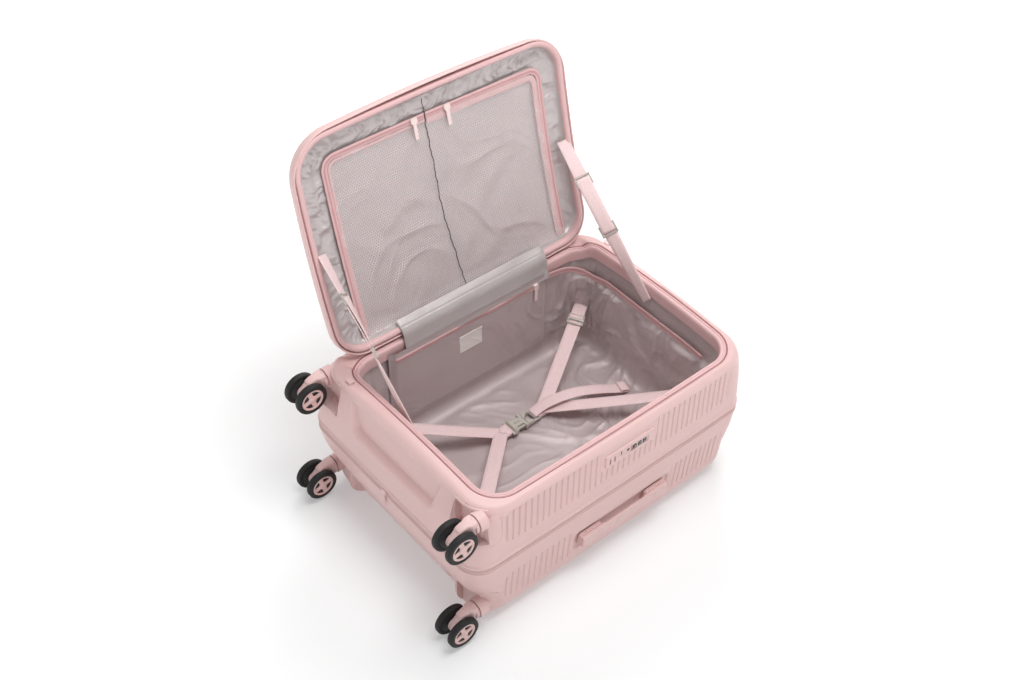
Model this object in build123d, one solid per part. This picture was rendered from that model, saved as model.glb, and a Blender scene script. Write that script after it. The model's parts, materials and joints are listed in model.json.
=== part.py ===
from build123d import *
import os
import math

os.makedirs("parts", exist_ok=True)

# ---------------------------------------------------------------- dimensions
# +X towards the telescopic handle, -X wheel end, -Y lock side, +Y hinge side.
# The case lies on its back shell, floor at z = 0, lid open.
XW, XT, WB, RC = -298.0, 290.0, 221.0, 54.0      # shell walls: wheel end, top end, half width, corner radius
T = 3.0                                          # shell thickness
Z_BACK, Z_FRONT = 153.0, 163.0                   # top of back shell, bottom of front shell
Z_DRAFT = 118.0                                  # below this the walls of the back shell draw in
BACK_R = 40.0                                    # bottom edge radius of the back shell
RIM_MID, ARCH_R = 295.0, 2070.0                  # arched rim: height at mid width and radius
GX0, GX1, GY0, GY1, GR = -276.0, 276.0, -208.5, 190.0, 56.0   # rim groove
LIP = 13.0                                       # width of the rim lip inside the groove
LEDGE_Z = 278.5                                  # hinge ledge height
AX_Y, AX_Z, OPEN = 184.0, 287.5, 105.3           # lid hinge line and opening angle
LX0, LX1, LY0, LY1, LR = -279.0, 285.0, -217.0, 187.0, 60.0   # lid outline
LID_H = 32.0                                     # lid depth at its rim
WHEEL_R, WHEEL_W, TRACK = 29.0, 13.0, 46.0       # caster wheels
WHEEL_X, TRAIL = -337.4, 13.0
CASTER_Y, SWIVEL_F, SWIVEL_B = 200.8, 263.8, 47.0
PAD_X = -287.0  # flat pad of each wheel housing
WEB, WEB_T = 26.0, 1.6                           # webbing
STAGE = 210.0                                    # travel of each telescopic stage
FIT = 0.05                                       # radial running clearance


# ---------------------------------------------------------------- helpers
def box(x0, x1, y0, y1, z0, z1):
    return Pos((x0 + x1) / 2, (y0 + y1) / 2, (z0 + z1) / 2) * Box(x1 - x0, y1 - y0, z1 - z0)


def rr(x0, x1, y0, y1, r, z):
    return Plane(origin=((x0 + x1) / 2, (y0 + y1) / 2, z)) * RectangleRounded(x1 - x0, y1 - y0, r)


def prism(x0, x1, y0, y1, r, z0, z1):
    return extrude(rr(x0, x1, y0, y1, r, z0), z1 - z0)


def cyl_x(x0, x1, y, z, r):
    return Pos((x0 + x1) / 2, y, z) * Rot(0, 90, 0) * Cylinder(r, x1 - x0)


def cyl_y(y0, y1, x, z, r):
    return Pos(x, (y0 + y1) / 2, z) * Rot(90, 0, 0) * Cylinder(r, y1 - y0)


def arch(off):
    """Everything below the arched rim surface, moved out by off."""
    return Pos(0, 0, RIM_MID - ARCH_R) * Rot(0, 90, 0) * Cylinder(ARCH_R + off, 900)


def arch_z(y, off=0.0):
    return RIM_MID - ARCH_R + math.sqrt((ARCH_R + off) ** 2 - y * y)


def top_fillet(s, r):
    return fillet(s.faces().sort_by(Axis.Z)[-1].edges(), r)


def band(p0, p1, w, t, up=(0, 0, 1)):
    """Flat webbing from p0 to p1."""
    a, b = Vector(*p0), Vector(*p1)
    d = b - a
    n = Vector(*up)
    n = n - d.normalized() * n.dot(d.normalized())
    pl = Plane(origin=(a + b) * 0.5, x_dir=d, z_dir=n)
    return pl * Box(d.length, w, t)


def opened(s):
    return s.rotate(Axis((0, AX_Y, AX_Z), (1, 0, 0)), -OPEN)


def solids(x):
    return list(x.solids())


def save(name, *shapes):
    ss = []
    for s in shapes:
        ss += solids(s)
    c = ss[0] if len(ss) == 1 else Compound(children=ss)
    export_step(c, "parts/" + name + ".step")


def save_lid(name, *shapes):
    save(name, *[opened(s) for s in shapes])


# ---------------------------------------------------------------- back shell
def tub(inset, z_top, z_bot, r_bot):
    i = inset
    s = loft([rr(XW + i, XT - i, -WB + i, WB - i, RC - i, z_top),
              rr(XW + 1 + i, XT - 7 - i, -WB + 7 + i, WB - 7 - i, RC - 4 - i, z_bot)], ruled=True)
    return fillet(s.faces().sort_by(Axis.Z)[0].edges(), r_bot)


back_outer = tub(0, Z_DRAFT, 0, BACK_R) + prism(XW, XT, -WB, WB, RC, Z_DRAFT, Z_BACK)
back_shell = back_outer - (tub(T, Z_DRAFT, T, BACK_R - T) + prism(XW + T, XT - T, -WB + T, WB - T, RC - T, Z_DRAFT, Z_BACK + 1))
back_shell += prism(XW - 2, XT + 2, -WB - 2, WB + 2, RC + 2, Z_BACK - 5, Z_BACK) \
    - prism(XW + 1, XT - 1, -WB + 1, WB - 1, RC - 1, Z_BACK - 6, Z_BACK + 1)

# ---------------------------------------------------------------- front shell
front_outer = top_fillet(prism(XW, XT, -WB, WB, RC, Z_FRONT, 310) & arch(0), 16)
front_shell = front_outer - top_fillet(prism(XW + T, XT - T, -WB + T, WB - T, RC - T, Z_FRONT - 1, 310) & arch(-T), 13)
front_shell -= prism(GX0, GX1, GY0, GY1, GR, 240, 330)
front_shell -= box(-262, 262, 168, 240, LEDGE_Z, 330)
front_shell += box(-262, 262, GY1, 219, LEDGE_Z - 3, LEDGE_Z) & front_outer
front_shell += prism(XW - 2, XT + 2, -WB - 2, WB + 2, RC + 2, Z_FRONT, Z_FRONT + 5) \
    - prism(XW + 1, XT - 1, -WB + 1, WB - 1, RC - 1, Z_FRONT - 1, Z_FRONT + 6)

# ---------------------------------------------------------------- wheel housings
# each wraps a corner of its shell, with a stepped-in flat pad and a round collar for the caster
def front_skin(o):
    return top_fillet(prism(XW - o, XT + o, -WB - o, WB + o, RC + o, 150, 310) & arch(o), 16 + o)


housings_f, housings_b = [], []
for sy in (-1, 1):
    for zs, z0, z1, x1, skin, dst in ((SWIVEL_F, 218.0, 281.0, -276.6, front_skin, housings_f),
                                      (SWIVEL_B, 5.0, 76.0, -262.0, lambda o: tub(-o, Z_DRAFT, -o, BACK_R), housings_b)):
        def hb(i, xa, xb):
            ya, yb = sorted((sy * (150.0 + i), sy * 240.0))
            return box(xa, xb, ya, yb, z0 + i, z1 - i)
        blk = hb(0, XW - 3, x1) & skin(1.2)
        if dst is housings_f:
            front_shell -= hb(0, XW - 3, x1)
        else:
            back_shell -= hb(0, XW - 3, x1)
        h = blk - hb(3, XW - 3, PAD_X) - (hb(3, PAD_X + 3, x1 + 1) & skin(-2.0))
        yc = sy * CASTER_Y
        h += cyl_x(XW - 1, -283, yc, zs, 17) + cyl_x(-284, x1 - 1, yc, zs, 10)
        h -= cyl_x(XW - 8, x1 + 5, yc, zs, 5 + FIT)
        dst.append(h)

# ---------------------------------------------------------------- casters
for tag, sy, zs in (("front_lock", -1, SWIVEL_F), ("front_hinge", 1, SWIVEL_F),
                    ("back_lock", -1, SWIVEL_B), ("back_hinge", 1, SWIVEL_B)):
    yc, za = sy * CASTER_Y, zs - TRAIL
    arm2d = make_hull([*Circle(13.5).locate(Location((-313, zs))).edges(),
                       *Circle(12).locate(Location((WHEEL_X, za))).edges()])
    arm = extrude(Plane(origin=(0, yc, 0), x_dir=(1, 0, 0), z_dir=(0, -1, 0)) * arm2d, 8.5, both=True)
    fork = arm + cyl_x(-306, XW - 1.6, yc, zs, 15) + cyl_x(XW - 2, -281 if zs > 150 else -270, yc, zs, 5)
    fork -= cyl_y(yc - 20, yc + 20, WHEEL_X, za, 3 + FIT)
    save(tag + "_caster_fork", fork)
    save(tag + "_axle", cyl_y(yc - 21, yc + 21, WHEEL_X, za, 3))
    wheels = []
    for s2 in (-1, 1):
        y_in, y_out = yc + s2 * (TRACK / 2 - WHEEL_W), yc + s2 * TRACK / 2
        w = cyl_y(min(y_in, y_out), max(y_in, y_out), WHEEL_X, za, WHEEL_R)
        w = fillet(w.edges().filter_by(GeomType.CIRCLE), 3)
        w -= cyl_y(min(y_in, y_out) - 1, max(y_in, y_out) + 1, WHEEL_X, za, 3)
        for k in range(4):
            a = math.radians(45 + 90 * k)
            cx, cz = WHEEL_X + 13.5 * math.cos(a), za + 13.5 * math.sin(a)
            w -= Pos(cx, (y_in + y_out) / 2, cz) * Rot(0, -math.degrees(a), 0) * Box(9, 30, 8)
        wheels.append(w)
    save(tag + "_wheels", *wheels)

# ---------------------------------------------------------------- band between the shells, rim, lining
expansion_gusset = prism(XW + 4.2, XT - 4.2, -WB + 4.2, WB - 4.2, RC - 4.2, Z_BACK - 5, Z_FRONT + 8) \
    - prism(XW + 5.4, XT - 5.4, -WB + 5.4, WB - 5.4, RC - 5.4, Z_BACK - 6, Z_FRONT + 9)
expansion_zip = prism(XW + 0.6, XT - 0.6, -WB + 0.6, WB - 0.6, RC - 0.6, Z_BACK, Z_FRONT) \
    - prism(XW + 3, XT - 3, -WB + 3, WB - 3, RC - 3, Z_BACK - 18, Z_FRONT + 12)

# slider of the expansion zip, on the wheel end, its pull hanging over the lower ridge
EY = 13.0
expansion_slider = fillet(box(XW - 5, XW + 0.1, EY - 6, EY + 6, Z_BACK + 0.6, Z_FRONT - 0.6).edges().filter_by(Axis.X), 1.5)
expansion_slider += box(XW - 5, XW - 3.2, EY - 3.4, EY + 3.4, Z_BACK - 26, Z_BACK + 2)

rim_zip = prism(GX0, GX1, GY0, GY1, GR, 266, 310) - prism(GX0 + LIP, GX1 - LIP, GY0 + LIP, GY1 - LIP, GR - LIP, 200, 320)
rim_zip = (rim_zip & arch(-0.5)) - box(-262, 262, 176, 240, LEDGE_Z - 0.5, 330)


def lining(i, zt, zb, rb):
    s = loft([rr(-265 + i, 267 - i, -200 + i, 181 - i, 42 - i, zt), rr(-252 + i, 256 - i, -192 + i, 173 - i, 40 - i, zb)], ruled=True)
    return fillet(s.faces().sort_by(Axis.Z)[0].edges(), rb)


lining_in = lining(1.5, 266.01, 59.5, 22.5)
case_lining = lining(0, 266, 58, 24) - lining_in

# ---------------------------------------------------------------- hinge-side wall pocket
PY = 169.5
wall_pocket = (box(-185, 160, PY, 185, 100, 262) & lining_in) - box(-183, 158, PY + 1.5, 190, 102, 260)
wall_pocket_zip = box(-175, 142, PY - 1.3, PY - 0.05, 243, 253)
label_patch = box(-37, 14, PY - 1.2, PY - 0.05, 201, 223)


def slider(x, y0, z, down):
    """Zip slider with its pull hanging along down; it sits on the face y = y0, towards -Y."""
    s = box(x - 5, x + 5, y0 - 4.5, y0 - 0.4, z - 6, z + 6)
    s = fillet(s.edges().filter_by(Axis.Y), 2)
    return s + box(x - 3.2, x + 3.2, y0 - 4.2, y0 - 2.4, z - 6 - down, z - 5)


wall_slider = slider(139, PY - 1.3, 248, 26)

# ---------------------------------------------------------------- cross straps and buckle
BZ = 72.0
FEM = (-17.0, 49.0, BZ)
MAL = (49.0, 52.0, BZ)
left_join, right_join = (-40.0, 50.0, BZ), (64.0, 50.0, BZ)
cross_left = band((-243.5, 154, 150), left_join, WEB, WEB_T) + band((-246, -148, 155), left_join, WEB, WEB_T) \
    + band((-44, 50, BZ), (-21.4, 50, BZ), WEB, WEB_T)
ANCHOR = (247.0, 154.0, 150.0)
cross_right = band(ANCHOR, right_join, WEB, WEB_T) + band((247, -127, 132), right_join, WEB, WEB_T) \
    + band((46.4, 50, BZ), (68, 50, BZ), WEB, WEB_T)
strap_tail = band((72, 45, 90), (130, 26.5, 92.5), WEB, WEB_T) + band((128.5, 27, 92.5), (214.4, -0.9, 71.4), WEB, WEB_T)
buckle_female = fillet(box(-16, 16, FEM[1] - 16, FEM[1] + 18, BZ - 6, BZ + 6).edges().filter_by(Axis.X), 3)
buckle_female -= box(-9, 20, FEM[1] - 11.4, FEM[1] + 13.4, BZ - 3.4, BZ + 3.4)
buckle_female -= box(-5, 9, FEM[1] - 30, FEM[1] + 30, BZ - 3.4, BZ + 3.4)
buckle_female += box(-21, -18, FEM[1] - 16, FEM[1] + 18, BZ - 2, BZ + 2) + box(-19, -14, FEM[1] - 16, FEM[1] - 12.5, BZ - 2, BZ + 2) \
    + box(-19, -14, FEM[1] + 14.5, FEM[1] + 18, BZ - 2, BZ + 2)
buckle_male = box(16.4, 30, FEM[1] - 14, FEM[1] + 16, BZ - 4.5, BZ + 4.5)
buckle_male = fillet(buckle_male.edges().filter_by(Axis.X), 2)
buckle_male += box(-7, 17, FEM[1] - 10.8, FEM[1] - 5.5, BZ - 2.8, BZ + 2.8) + box(-7, 17, FEM[1] + 7.5, FEM[1] + 12.8, BZ - 2.8, BZ + 2.8) \
    + box(-4, 17, FEM[1] - 1.5, FEM[1] + 3.5, BZ - 2, BZ + 2)
buckle_male += box(30, 46, FEM[1] - 14, FEM[1] - 10.5, BZ - 2, BZ + 2) + box(30, 46, FEM[1] + 12.5, FEM[1] + 16, BZ - 2, BZ + 2) \
    + box(43, 46, FEM[1] - 14, FEM[1] + 16, BZ - 2, BZ + 2) + box(36, 38.5, FEM[1] - 14, FEM[1] + 16, BZ - 2, BZ + 2)


def ladder(p, d, up, w=32.0):
    """Slide adjuster: a flat frame with a centre bar, across the strap direction d."""
    pl = Plane(origin=p, x_dir=d, z_dir=up)
    f = Box(22, w, 3.4) - Pos(-5.2, 0, 0) * Box(6.6, w - 5, 5) - Pos(5.2, 0, 0) * Box(6.6, w - 5, 5)
    return pl * f


d3 = (Vector(*ANCHOR) - Vector(*right_join)).normalized()
n3 = (Vector(0, 0, 1) - d3 * d3.Z).normalized()
cross_adjuster = ladder(Vector(*ANCHOR) - d3 * 34 + n3 * 2.8, d3, n3)

# ---------------------------------------------------------------- lock
PX0, PX1, PZ0, PZ1 = -50.0, 57.0, 222.0, 256.0
lock_housing = fillet(box(PX0, PX1, -WB - 4, -WB, PZ0, PZ1).edges().filter_by(Axis.Y), 3) + box(PX0 + 4, PX1 - 4, -WB - 1, -206, PZ0 + 4, PZ1 - 4)
front_shell -= box(PX0 + 4, PX1 - 4, -WB - 1, -WB + 4, PZ0 + 4, PZ1 - 4)
DIAL_X, DIAL_Z, DIAL_R = (14.0, 25.0, 36.0), 240.5, 8.0
for dx in DIAL_X:
    lock_housing -= box(dx - 4.4, dx + 4.4, -WB - 6, -208.5, DIAL_Z - 9, DIAL_Z + 9)
lock_housing += cyl_x(6, 44, -218.5, DIAL_Z, 2)
for px in (-40.0, -30.0):
    lock_housing -= box(px - 1.6, px + 1.6, -WB - 6, -WB + 6, 233, 247)
lock_housing -= cyl_y(-WB - 6, -WB + 9, -16, 245, 5 + FIT)
lock_housing -= box(-6.3, 4.3, -WB - 6, -WB + 7, 235.7, 250.3)
key_cylinder = cyl_y(-WB - 4.6, -WB + 8.5, -16, 245, 5) - box(-16.6, -15.4, -WB - 6, -WB - 1, 241.5, 248.5)
lock_button = fillet(box(-6, 4, -WB - 5, -WB + 3.5, 236, 250).edges().filter_by(Axis.Y), 1)
dials = []
for dx in DIAL_X:
    w = cyl_x(dx - 4, dx + 4, -218.5, DIAL_Z, DIAL_R)
    w = chamfer(w.edges().filter_by(GeomType.CIRCLE), 0.8)
    dials.append(w - cyl_x(dx - 6, dx + 6, -218.5, DIAL_Z, 2 + FIT))

# ---------------------------------------------------------------- carry handles
SH_Z = 78.0
POSTS = (-70.0, 80.0)
side_bases = []
side_grip = fillet(box(-92, 102, -236.5, -227, SH_Z - 12, SH_Z + 12).edges().filter_by(Axis.X), 3)
for px in POSTS:
    b = fillet(box(px - 24, px + 24, -225.6, -205, SH_Z - 15, SH_Z + 15).edges().filter_by(Axis.Y), 5) - back_outer
    side_bases.append(max((b - cyl_y(-240, -190, px, SH_Z, 4 + FIT)).solids(), key=lambda s: s.volume))
    side_grip += cyl_y(-228, -200.5, px, SH_Z, 4)
    back_shell -= cyl_y(-240, -190, px, SH_Z, 5)

TH_Z = 190.0
top_bases = []
top_grip = fillet(box(XT + 6, XT + 15.5, -92, 92, TH_Z - 12, TH_Z + 12).edges().filter_by(Axis.Y), 3)
for py in (-70.0, 70.0):
    b = fillet(box(XT, XT + 4.6, py - 24, py + 24, TH_Z - 15, TH_Z + 15).edges().filter_by(Axis.X), 5)
    top_bases.append(b - cyl_x(XT - 30, XT + 20, py, TH_Z, 4 + FIT))
    top_grip += cyl_x(XT - 20.5, XT + 7, py, TH_Z, 4)
    front_shell -= cyl_x(XT - 30, XT + 20, py, TH_Z, 5)

# ---------------------------------------------------------------- telescopic handle
TY, TZ, TX = 75.0, 38.0, 283.0
cup_box = box(246, TX + 1.5, -112, 112, 22, 54)
back_shell -= fillet(box(246, 310, -112, 112, 22, 54).edges().filter_by(Axis.X), 6)
trolley_housing = fillet([e for e in cup_box.edges().filter_by(Axis.X)], 6) - box(252, 300, -104, 104, 25, 51)
outer_tubes, middle_tubes, inner_tubes = [], [], []
for s in (-1, 1):
    y = s * TY
    trolley_housing -= box(240, 256, y - 11, y + 11, TZ - 7, TZ + 7)
    outer_tubes.append(box(-236, 252, y - 11, y + 11, TZ - 7, TZ + 7) - box(-240, 260, y - 9.3, y + 9.3, TZ - 5.3, TZ + 5.3))
    middle_tubes.append(box(-215, 254, y - 9, y + 9, TZ - 5, TZ + 5) - box(-220, 262, y - 7.3, y + 7.3, TZ - 3.3, TZ + 3.3))
    inner_tubes.append(box(-200, 258, y - 7, y + 7, TZ - 3, TZ + 3))
trolley_base = box(-250, -236, -100, 100, 20, 52)
grip = fillet(box(258, TX, -100, 100, TZ - 10.5, TZ + 10.5).edges().filter_by(Axis.Y), 7)
grip -= box(TX - 8.2, TX + 6, -22.3, 22.3, TZ - 5.3, TZ + 5.3)
trolley_button = fillet(box(TX - 3.8, TX + 3, -22, 22, TZ - 5, TZ + 5).edges().filter_by(Axis.X), 3)

# ---------------------------------------------------------------- lid, made closed and turned open
lid_outer = top_fillet((prism(LX0, LX1, LY0, LY1, LR, 200, 360) & arch(LID_H)) - arch(0.8), 22)
lid_in = top_fillet(prism(LX0 + T, LX1 - T, LY0 + T, LY1 - T, LR - T, 190, 360) & arch(LID_H - T), 19)
lid_shell = lid_outer - lid_in
lid_zip = (prism(LX0 + T, LX1 - T, LY0 + T, LY1 - T, LR - T, 200, 360) - prism(LX0 + 16, LX1 - 16, LY0 + 16, LY1 - 16, LR - 16, 190, 370)) & (arch(8) - arch(0.8))
lid_lining = prism(LX0 + 7.2, LX1 - 7.2, LY0 + 7.2, LY1 - 7.2, LR - 7.2, 200, 360) & (arch(21.8) - arch(20))
PKT = ((-216.0, -10.0), (-4.0, 219.0))
PY0, PY1 = -166.0, 158.0
mesh_pockets, mesh_zips = [], []
for x0, x1 in PKT:
    mesh_pockets.append(prism(x0, x1, PY0, PY1, 26, 200, 360) & (arch(16.6) - arch(15.2)))
    u = prism(x0 - 1, x1 + 1, PY0 - 1, PY1 + 1, 27, 200, 360) - prism(x0 + 11, x1 - 11, PY0 + 11, PY1 + 30, 15, 190, 370)
    u = (u - box(x0 + 11, x1 - 11, PY1 - 30, PY1 + 10, 190, 370)) & (arch(15.1) - arch(13.9))
    # the zip runs along the top and down the outer side only
    u -= box(x1 - 11, x1 + 5, PY0 + 11, PY1 + 10, 190, 370) if x0 < -100 else box(x0 - 5, x0 + 11, PY0 + 11, PY1 + 10, 190, 370)
    mesh_zips.append(u)


def lid_slider(x, y):
    z = arch_z(y, 13.9)
    s = box(x - 6, x + 6, y - 5, y + 5, z - 4.4, z - 0.5)
    s = fillet(s.edges().filter_by(Axis.Z), 2)
    return s + box(x - 3.2, x + 3.2, y + 4, y + 32, z - 4.2, z - 2.4)


mesh_slider_left = lid_slider(-32, PY0 + 5)
mesh_slider_right = lid_slider(36, PY0 + 5)

# sliders of the lid zip, parked beside the hinge on the short sides
def rim_slider(x, drop):
    y = 142.0
    z = arch_z(y, 0.0) - drop
    s = box(x - 5, x + 5, y - 7, y + 7, z + 1.0, z + 5.0)
    return fillet(s.edges().filter_by(Axis.Z), 2.5)


# lid support straps, pinned to the lid wall and to the case rim
def open_pt(x, y, z):
    a = math.radians(-OPEN)
    dy, dz = y - AX_Y, z - AX_Z
    return (x, AX_Y + dy * math.cos(a) - dz * math.sin(a), AX_Z + dy * math.sin(a) + dz * math.cos(a))


SUP_L = (open_pt(-256, -10, arch_z(10, 2.0)), (-256.0, 8.0, 262.0))
SUP_R = (open_pt(262, -6, arch_z(6, 2.0)), (259.0, 4.0, 262.0))
support_left = band(SUP_L[0], SUP_L[1], WEB, WEB_T, up=(1, 0, 0))
support_right = band(SUP_R[0], SUP_R[1], WEB, WEB_T, up=(-1, 0, 0))
support_adjusters = []
for (p, q), sx in ((SUP_L, 1), (SUP_R, -1)):
    a, b = Vector(*p), Vector(*q)
    d = (b - a).normalized()
    n = Vector(sx, 0, 0)
    n = (n - d * n.dot(d)).normalized()
    for f in (0.25, 0.55):
        support_adjusters.append(ladder(a + (b - a) * f + n * 2.8, d, n))

# fabric hinge sleeve from the lid's rim to the pocket panel
hinge_sleeve = box(-150, 173, PY - 2.6, PY - 0.1, 255, 281) + box(-150, 173, PY - 2.6, PY + 6, 281, 283.5)

# ---------------------------------------------------------------- write the parts
save("back_shell", back_shell)
save("front_shell", front_shell)
save("wheel_housings_front", *housings_f)
save("wheel_housings_back", *housings_b)
save("expansion_gusset", expansion_gusset)
save("expansion_zip", expansion_zip)
save("expansion_zip_slider", expansion_slider)
save("rim_zip", rim_zip)
save("case_lining", case_lining)
save("wall_pocket", wall_pocket)
save("wall_pocket_zip", wall_pocket_zip)
save("wall_pocket_slider", wall_slider)
save("label_patch", label_patch)
save("cross_strap_left", cross_left)
save("cross_strap_right", cross_right)
save("strap_tail", strap_tail)
save("strap_adjuster", cross_adjuster)
save("buckle_female", buckle_female)
save("buckle_male", buckle_male)
save("lock_housing", lock_housing)
save("key_cylinder", key_cylinder)
save("lock_button", lock_button)
for i, w in enumerate(dials):
    save("lock_dial_%d" % (i + 1), w)
save("side_handle_grip", side_grip)
save("handle_bases", *side_bases, *top_bases)
save("top_handle_grip", top_grip)
save("trolley_housing", trolley_housing)
save("trolley_base_bracket", trolley_base)
save("trolley_outer_tubes", *outer_tubes)
save("trolley_middle_tubes", *middle_tubes)
save("trolley_inner_tubes", *inner_tubes)
save("trolley_grip", grip)
save("trolley_button", trolley_button)
save("lid_zip_slider_wheel_end", rim_slider(-285.5, 0.0))
save("lid_zip_slider_top_end", rim_slider(290.9, 5.0))
save_lid("lid_shell", lid_shell)
save_lid("lid_zip", lid_zip)
save_lid("lid_lining", lid_lining)
save_lid("mesh_pockets", *mesh_pockets)
save_lid("mesh_pocket_zips", *mesh_zips)
save_lid("mesh_slider_left", mesh_slider_left)
save_lid("mesh_slider_right", mesh_slider_right)
save("support_strap_left", support_left)
save("support_strap_right", support_right)
save("support_adjusters", *support_adjusters)
save("hinge_sleeve", hinge_sleeve)
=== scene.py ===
import bpy
import bmesh
import json
import math
import numpy as np
from mathutils import Matrix, Vector

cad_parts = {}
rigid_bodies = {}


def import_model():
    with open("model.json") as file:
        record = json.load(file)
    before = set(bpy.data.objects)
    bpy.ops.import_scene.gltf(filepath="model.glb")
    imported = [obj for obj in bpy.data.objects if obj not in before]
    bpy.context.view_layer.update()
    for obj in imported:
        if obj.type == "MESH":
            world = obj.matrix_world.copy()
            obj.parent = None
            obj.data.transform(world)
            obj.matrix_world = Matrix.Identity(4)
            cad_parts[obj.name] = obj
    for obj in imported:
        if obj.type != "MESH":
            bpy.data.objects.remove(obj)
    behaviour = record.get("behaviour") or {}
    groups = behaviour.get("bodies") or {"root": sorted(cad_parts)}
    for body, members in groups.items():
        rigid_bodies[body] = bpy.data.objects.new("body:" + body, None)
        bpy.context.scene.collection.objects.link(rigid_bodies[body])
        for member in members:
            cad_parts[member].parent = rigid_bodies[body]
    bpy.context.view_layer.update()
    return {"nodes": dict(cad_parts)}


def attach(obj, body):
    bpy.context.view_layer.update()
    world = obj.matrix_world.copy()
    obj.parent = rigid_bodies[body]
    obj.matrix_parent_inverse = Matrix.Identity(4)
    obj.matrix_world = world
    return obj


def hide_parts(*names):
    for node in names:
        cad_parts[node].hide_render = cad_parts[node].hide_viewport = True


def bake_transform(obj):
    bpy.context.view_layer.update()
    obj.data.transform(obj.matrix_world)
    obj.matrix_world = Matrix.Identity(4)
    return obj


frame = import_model()
sc = bpy.context.scene
NODES = frame["nodes"]
MM = 0.001

# ---------------------------------------------------------------- sizes, in millimetres
XW, XT, WB, RC = -298.0, 290.0, 221.0, 54.0
Z_BACK, Z_FRONT, Z_DRAFT = 153.0, 163.0, 118.0
BELLY = 18.0
RIM_MID, ARCH_R = 295.0, 2070.0
GX0, GX1, GY0, GY1, GR = -276.0, 276.0, -208.5, 190.0, 56.0
LEDGE = 278.5
AX_Y, AX_Z, OPEN = 184.0, 287.5, math.radians(105.3)
LX0, LX1, LY0, LY1, LR = -273.0, 285.0, -217.0, 187.0, 60.0
LRF = 72.0
NX, NY, NA = 640, 420, 96
PAD_X = -287.0
PITCH = 12.3


# ---------------------------------------------------------------- small helpers
def swell(z):
    """How far the walls have swelled out on the way to the band between the shells, 0 to 1."""
    z = np.asarray(z, float)
    up, down = np.maximum(z - Z_FRONT, 0) / 112.0, np.maximum(Z_BACK - z, 0) / 80.0
    return np.clip(1 - up ** 2, 0, 1) * np.clip(1 - down ** 2, 0, 1)


def sstep(a, b, x):
    t = np.clip((np.asarray(x, float) - a) / (b - a), 0.0, 1.0)
    return t * t * (3 - 2 * t)


def lerp(a, b, t):
    return a + (b - a) * t


def archz(y, off=0.0):
    return RIM_MID - ARCH_R + np.sqrt((ARCH_R + off) ** 2 - np.asarray(y, float) ** 2)


def opened(P):
    P = np.array(P, float)
    dy, dz = P[..., 1] - AX_Y, P[..., 2] - AX_Z
    c, s = math.cos(-OPEN), math.sin(-OPEN)
    Q = P.copy()
    Q[..., 1] = AX_Y + dy * c - dz * s
    Q[..., 2] = AX_Z + dy * s + dz * c
    return Q


def waves(x, y, seed, wl, n=14, angle=None, spread=math.pi):
    """Smooth random field: a sum of sines of wavelengths near wl, about -1 to 1."""
    r = np.random.default_rng(seed)
    f = np.zeros(np.broadcast(x, y).shape)
    for _ in range(n):
        a = r.uniform(-spread, spread) + (angle or 0.0)
        k = 2 * math.pi / (wl * r.uniform(0.7, 1.6))
        f = f + np.sin(k * (x * math.cos(a) + y * math.sin(a)) + r.uniform(0, 2 * math.pi))
    return f / math.sqrt(n)


def creases(x, y, seed, wl, angle=None, spread=math.pi):
    """Sharp fold lines: high along narrow ridges, near 0 elsewhere."""
    f = waves(x, y, seed, wl, 10, angle, spread)
    m = sstep(-0.3, 0.9, waves(x, y, seed + 1000, wl * 2.2, 8))
    return np.exp(-np.abs(f) * 3.2) * m


def crumple(x, y, seed, wl, octaves=3, angle=None, spread=math.pi):
    """Crushed cloth: sharp warped ridges at several sizes, about -0.6 to 1."""
    wx = x + 0.3 * wl * waves(x, y, seed + 1, wl * 1.6, 8)
    wy = y + 0.3 * wl * waves(x, y, seed + 2, wl * 1.6, 8)
    f = 0.0
    for k in range(octaves):
        w = waves(wx, wy, seed + 10 + k, wl / 1.8 ** k, 7, angle, spread)
        f = f + 0.5 ** k * (np.clip(1 - np.abs(w), 0, 1) ** 1.4 - 0.35)
    return f


def link(name, me, mat):
    o = bpy.data.objects.new(name, me)
    sc.collection.objects.link(o)
    if mat is not None:
        me.materials.append(mat)
    return o


def mesh_from(name, V, F, mat, smooth=True):
    me = bpy.data.meshes.new(name)
    me.from_pydata((np.asarray(V, float) * MM).tolist(), [], [list(map(int, f)) for f in F])
    me.polygons.foreach_set("use_smooth", np.full(len(me.polygons), smooth))
    me.update()
    return link(name, me, mat)


def grid_mesh(name, P, mat, cu=False, cv=False, uv=None, flip=False, caps=()):
    """Quads over an array of points (nu, nv, 3); caps names end rows closed with one face: "v0", "v1", "u0", "u1"."""
    nu, nv = P.shape[:2]
    i, j = np.arange(nu if cu else nu - 1), np.arange(nv if cv else nv - 1)
    I, J = np.meshgrid(i, j, indexing="ij")
    I2, J2 = (I + 1) % nu, (J + 1) % nv
    F = np.stack([I * nv + J, I2 * nv + J, I2 * nv + J2, I * nv + J2], -1).reshape(-1, 4)
    if flip:
        F = F[:, ::-1]
    F = F.tolist()
    n_quads = len(F)
    ends = {"v0": [k * nv for k in range(nu)], "v1": [k * nv + nv - 1 for k in range(nu)],
            "u0": list(range(nv)), "u1": [(nu - 1) * nv + k for k in range(nv)]}
    for c in caps:
        f = ends[c]
        F.append(f[::-1] if (c in ("v0", "u1")) != flip else f)
    o = mesh_from(name, P.reshape(-1, 3), F, mat)
    if uv is not None:
        c = [uv[I, J], uv[I + 1, J], uv[I + 1, J + 1], uv[I, J + 1]]
        if flip:
            c = c[::-1]
        q = np.stack(c, 2).reshape(-1, 2)
        full = np.zeros((len(o.data.loops), 2), np.float32)
        full[: n_quads * 4] = q
        o.data.uv_layers.new(name="UVMap").data.foreach_set("uv", full.ravel())
    return o


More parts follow.
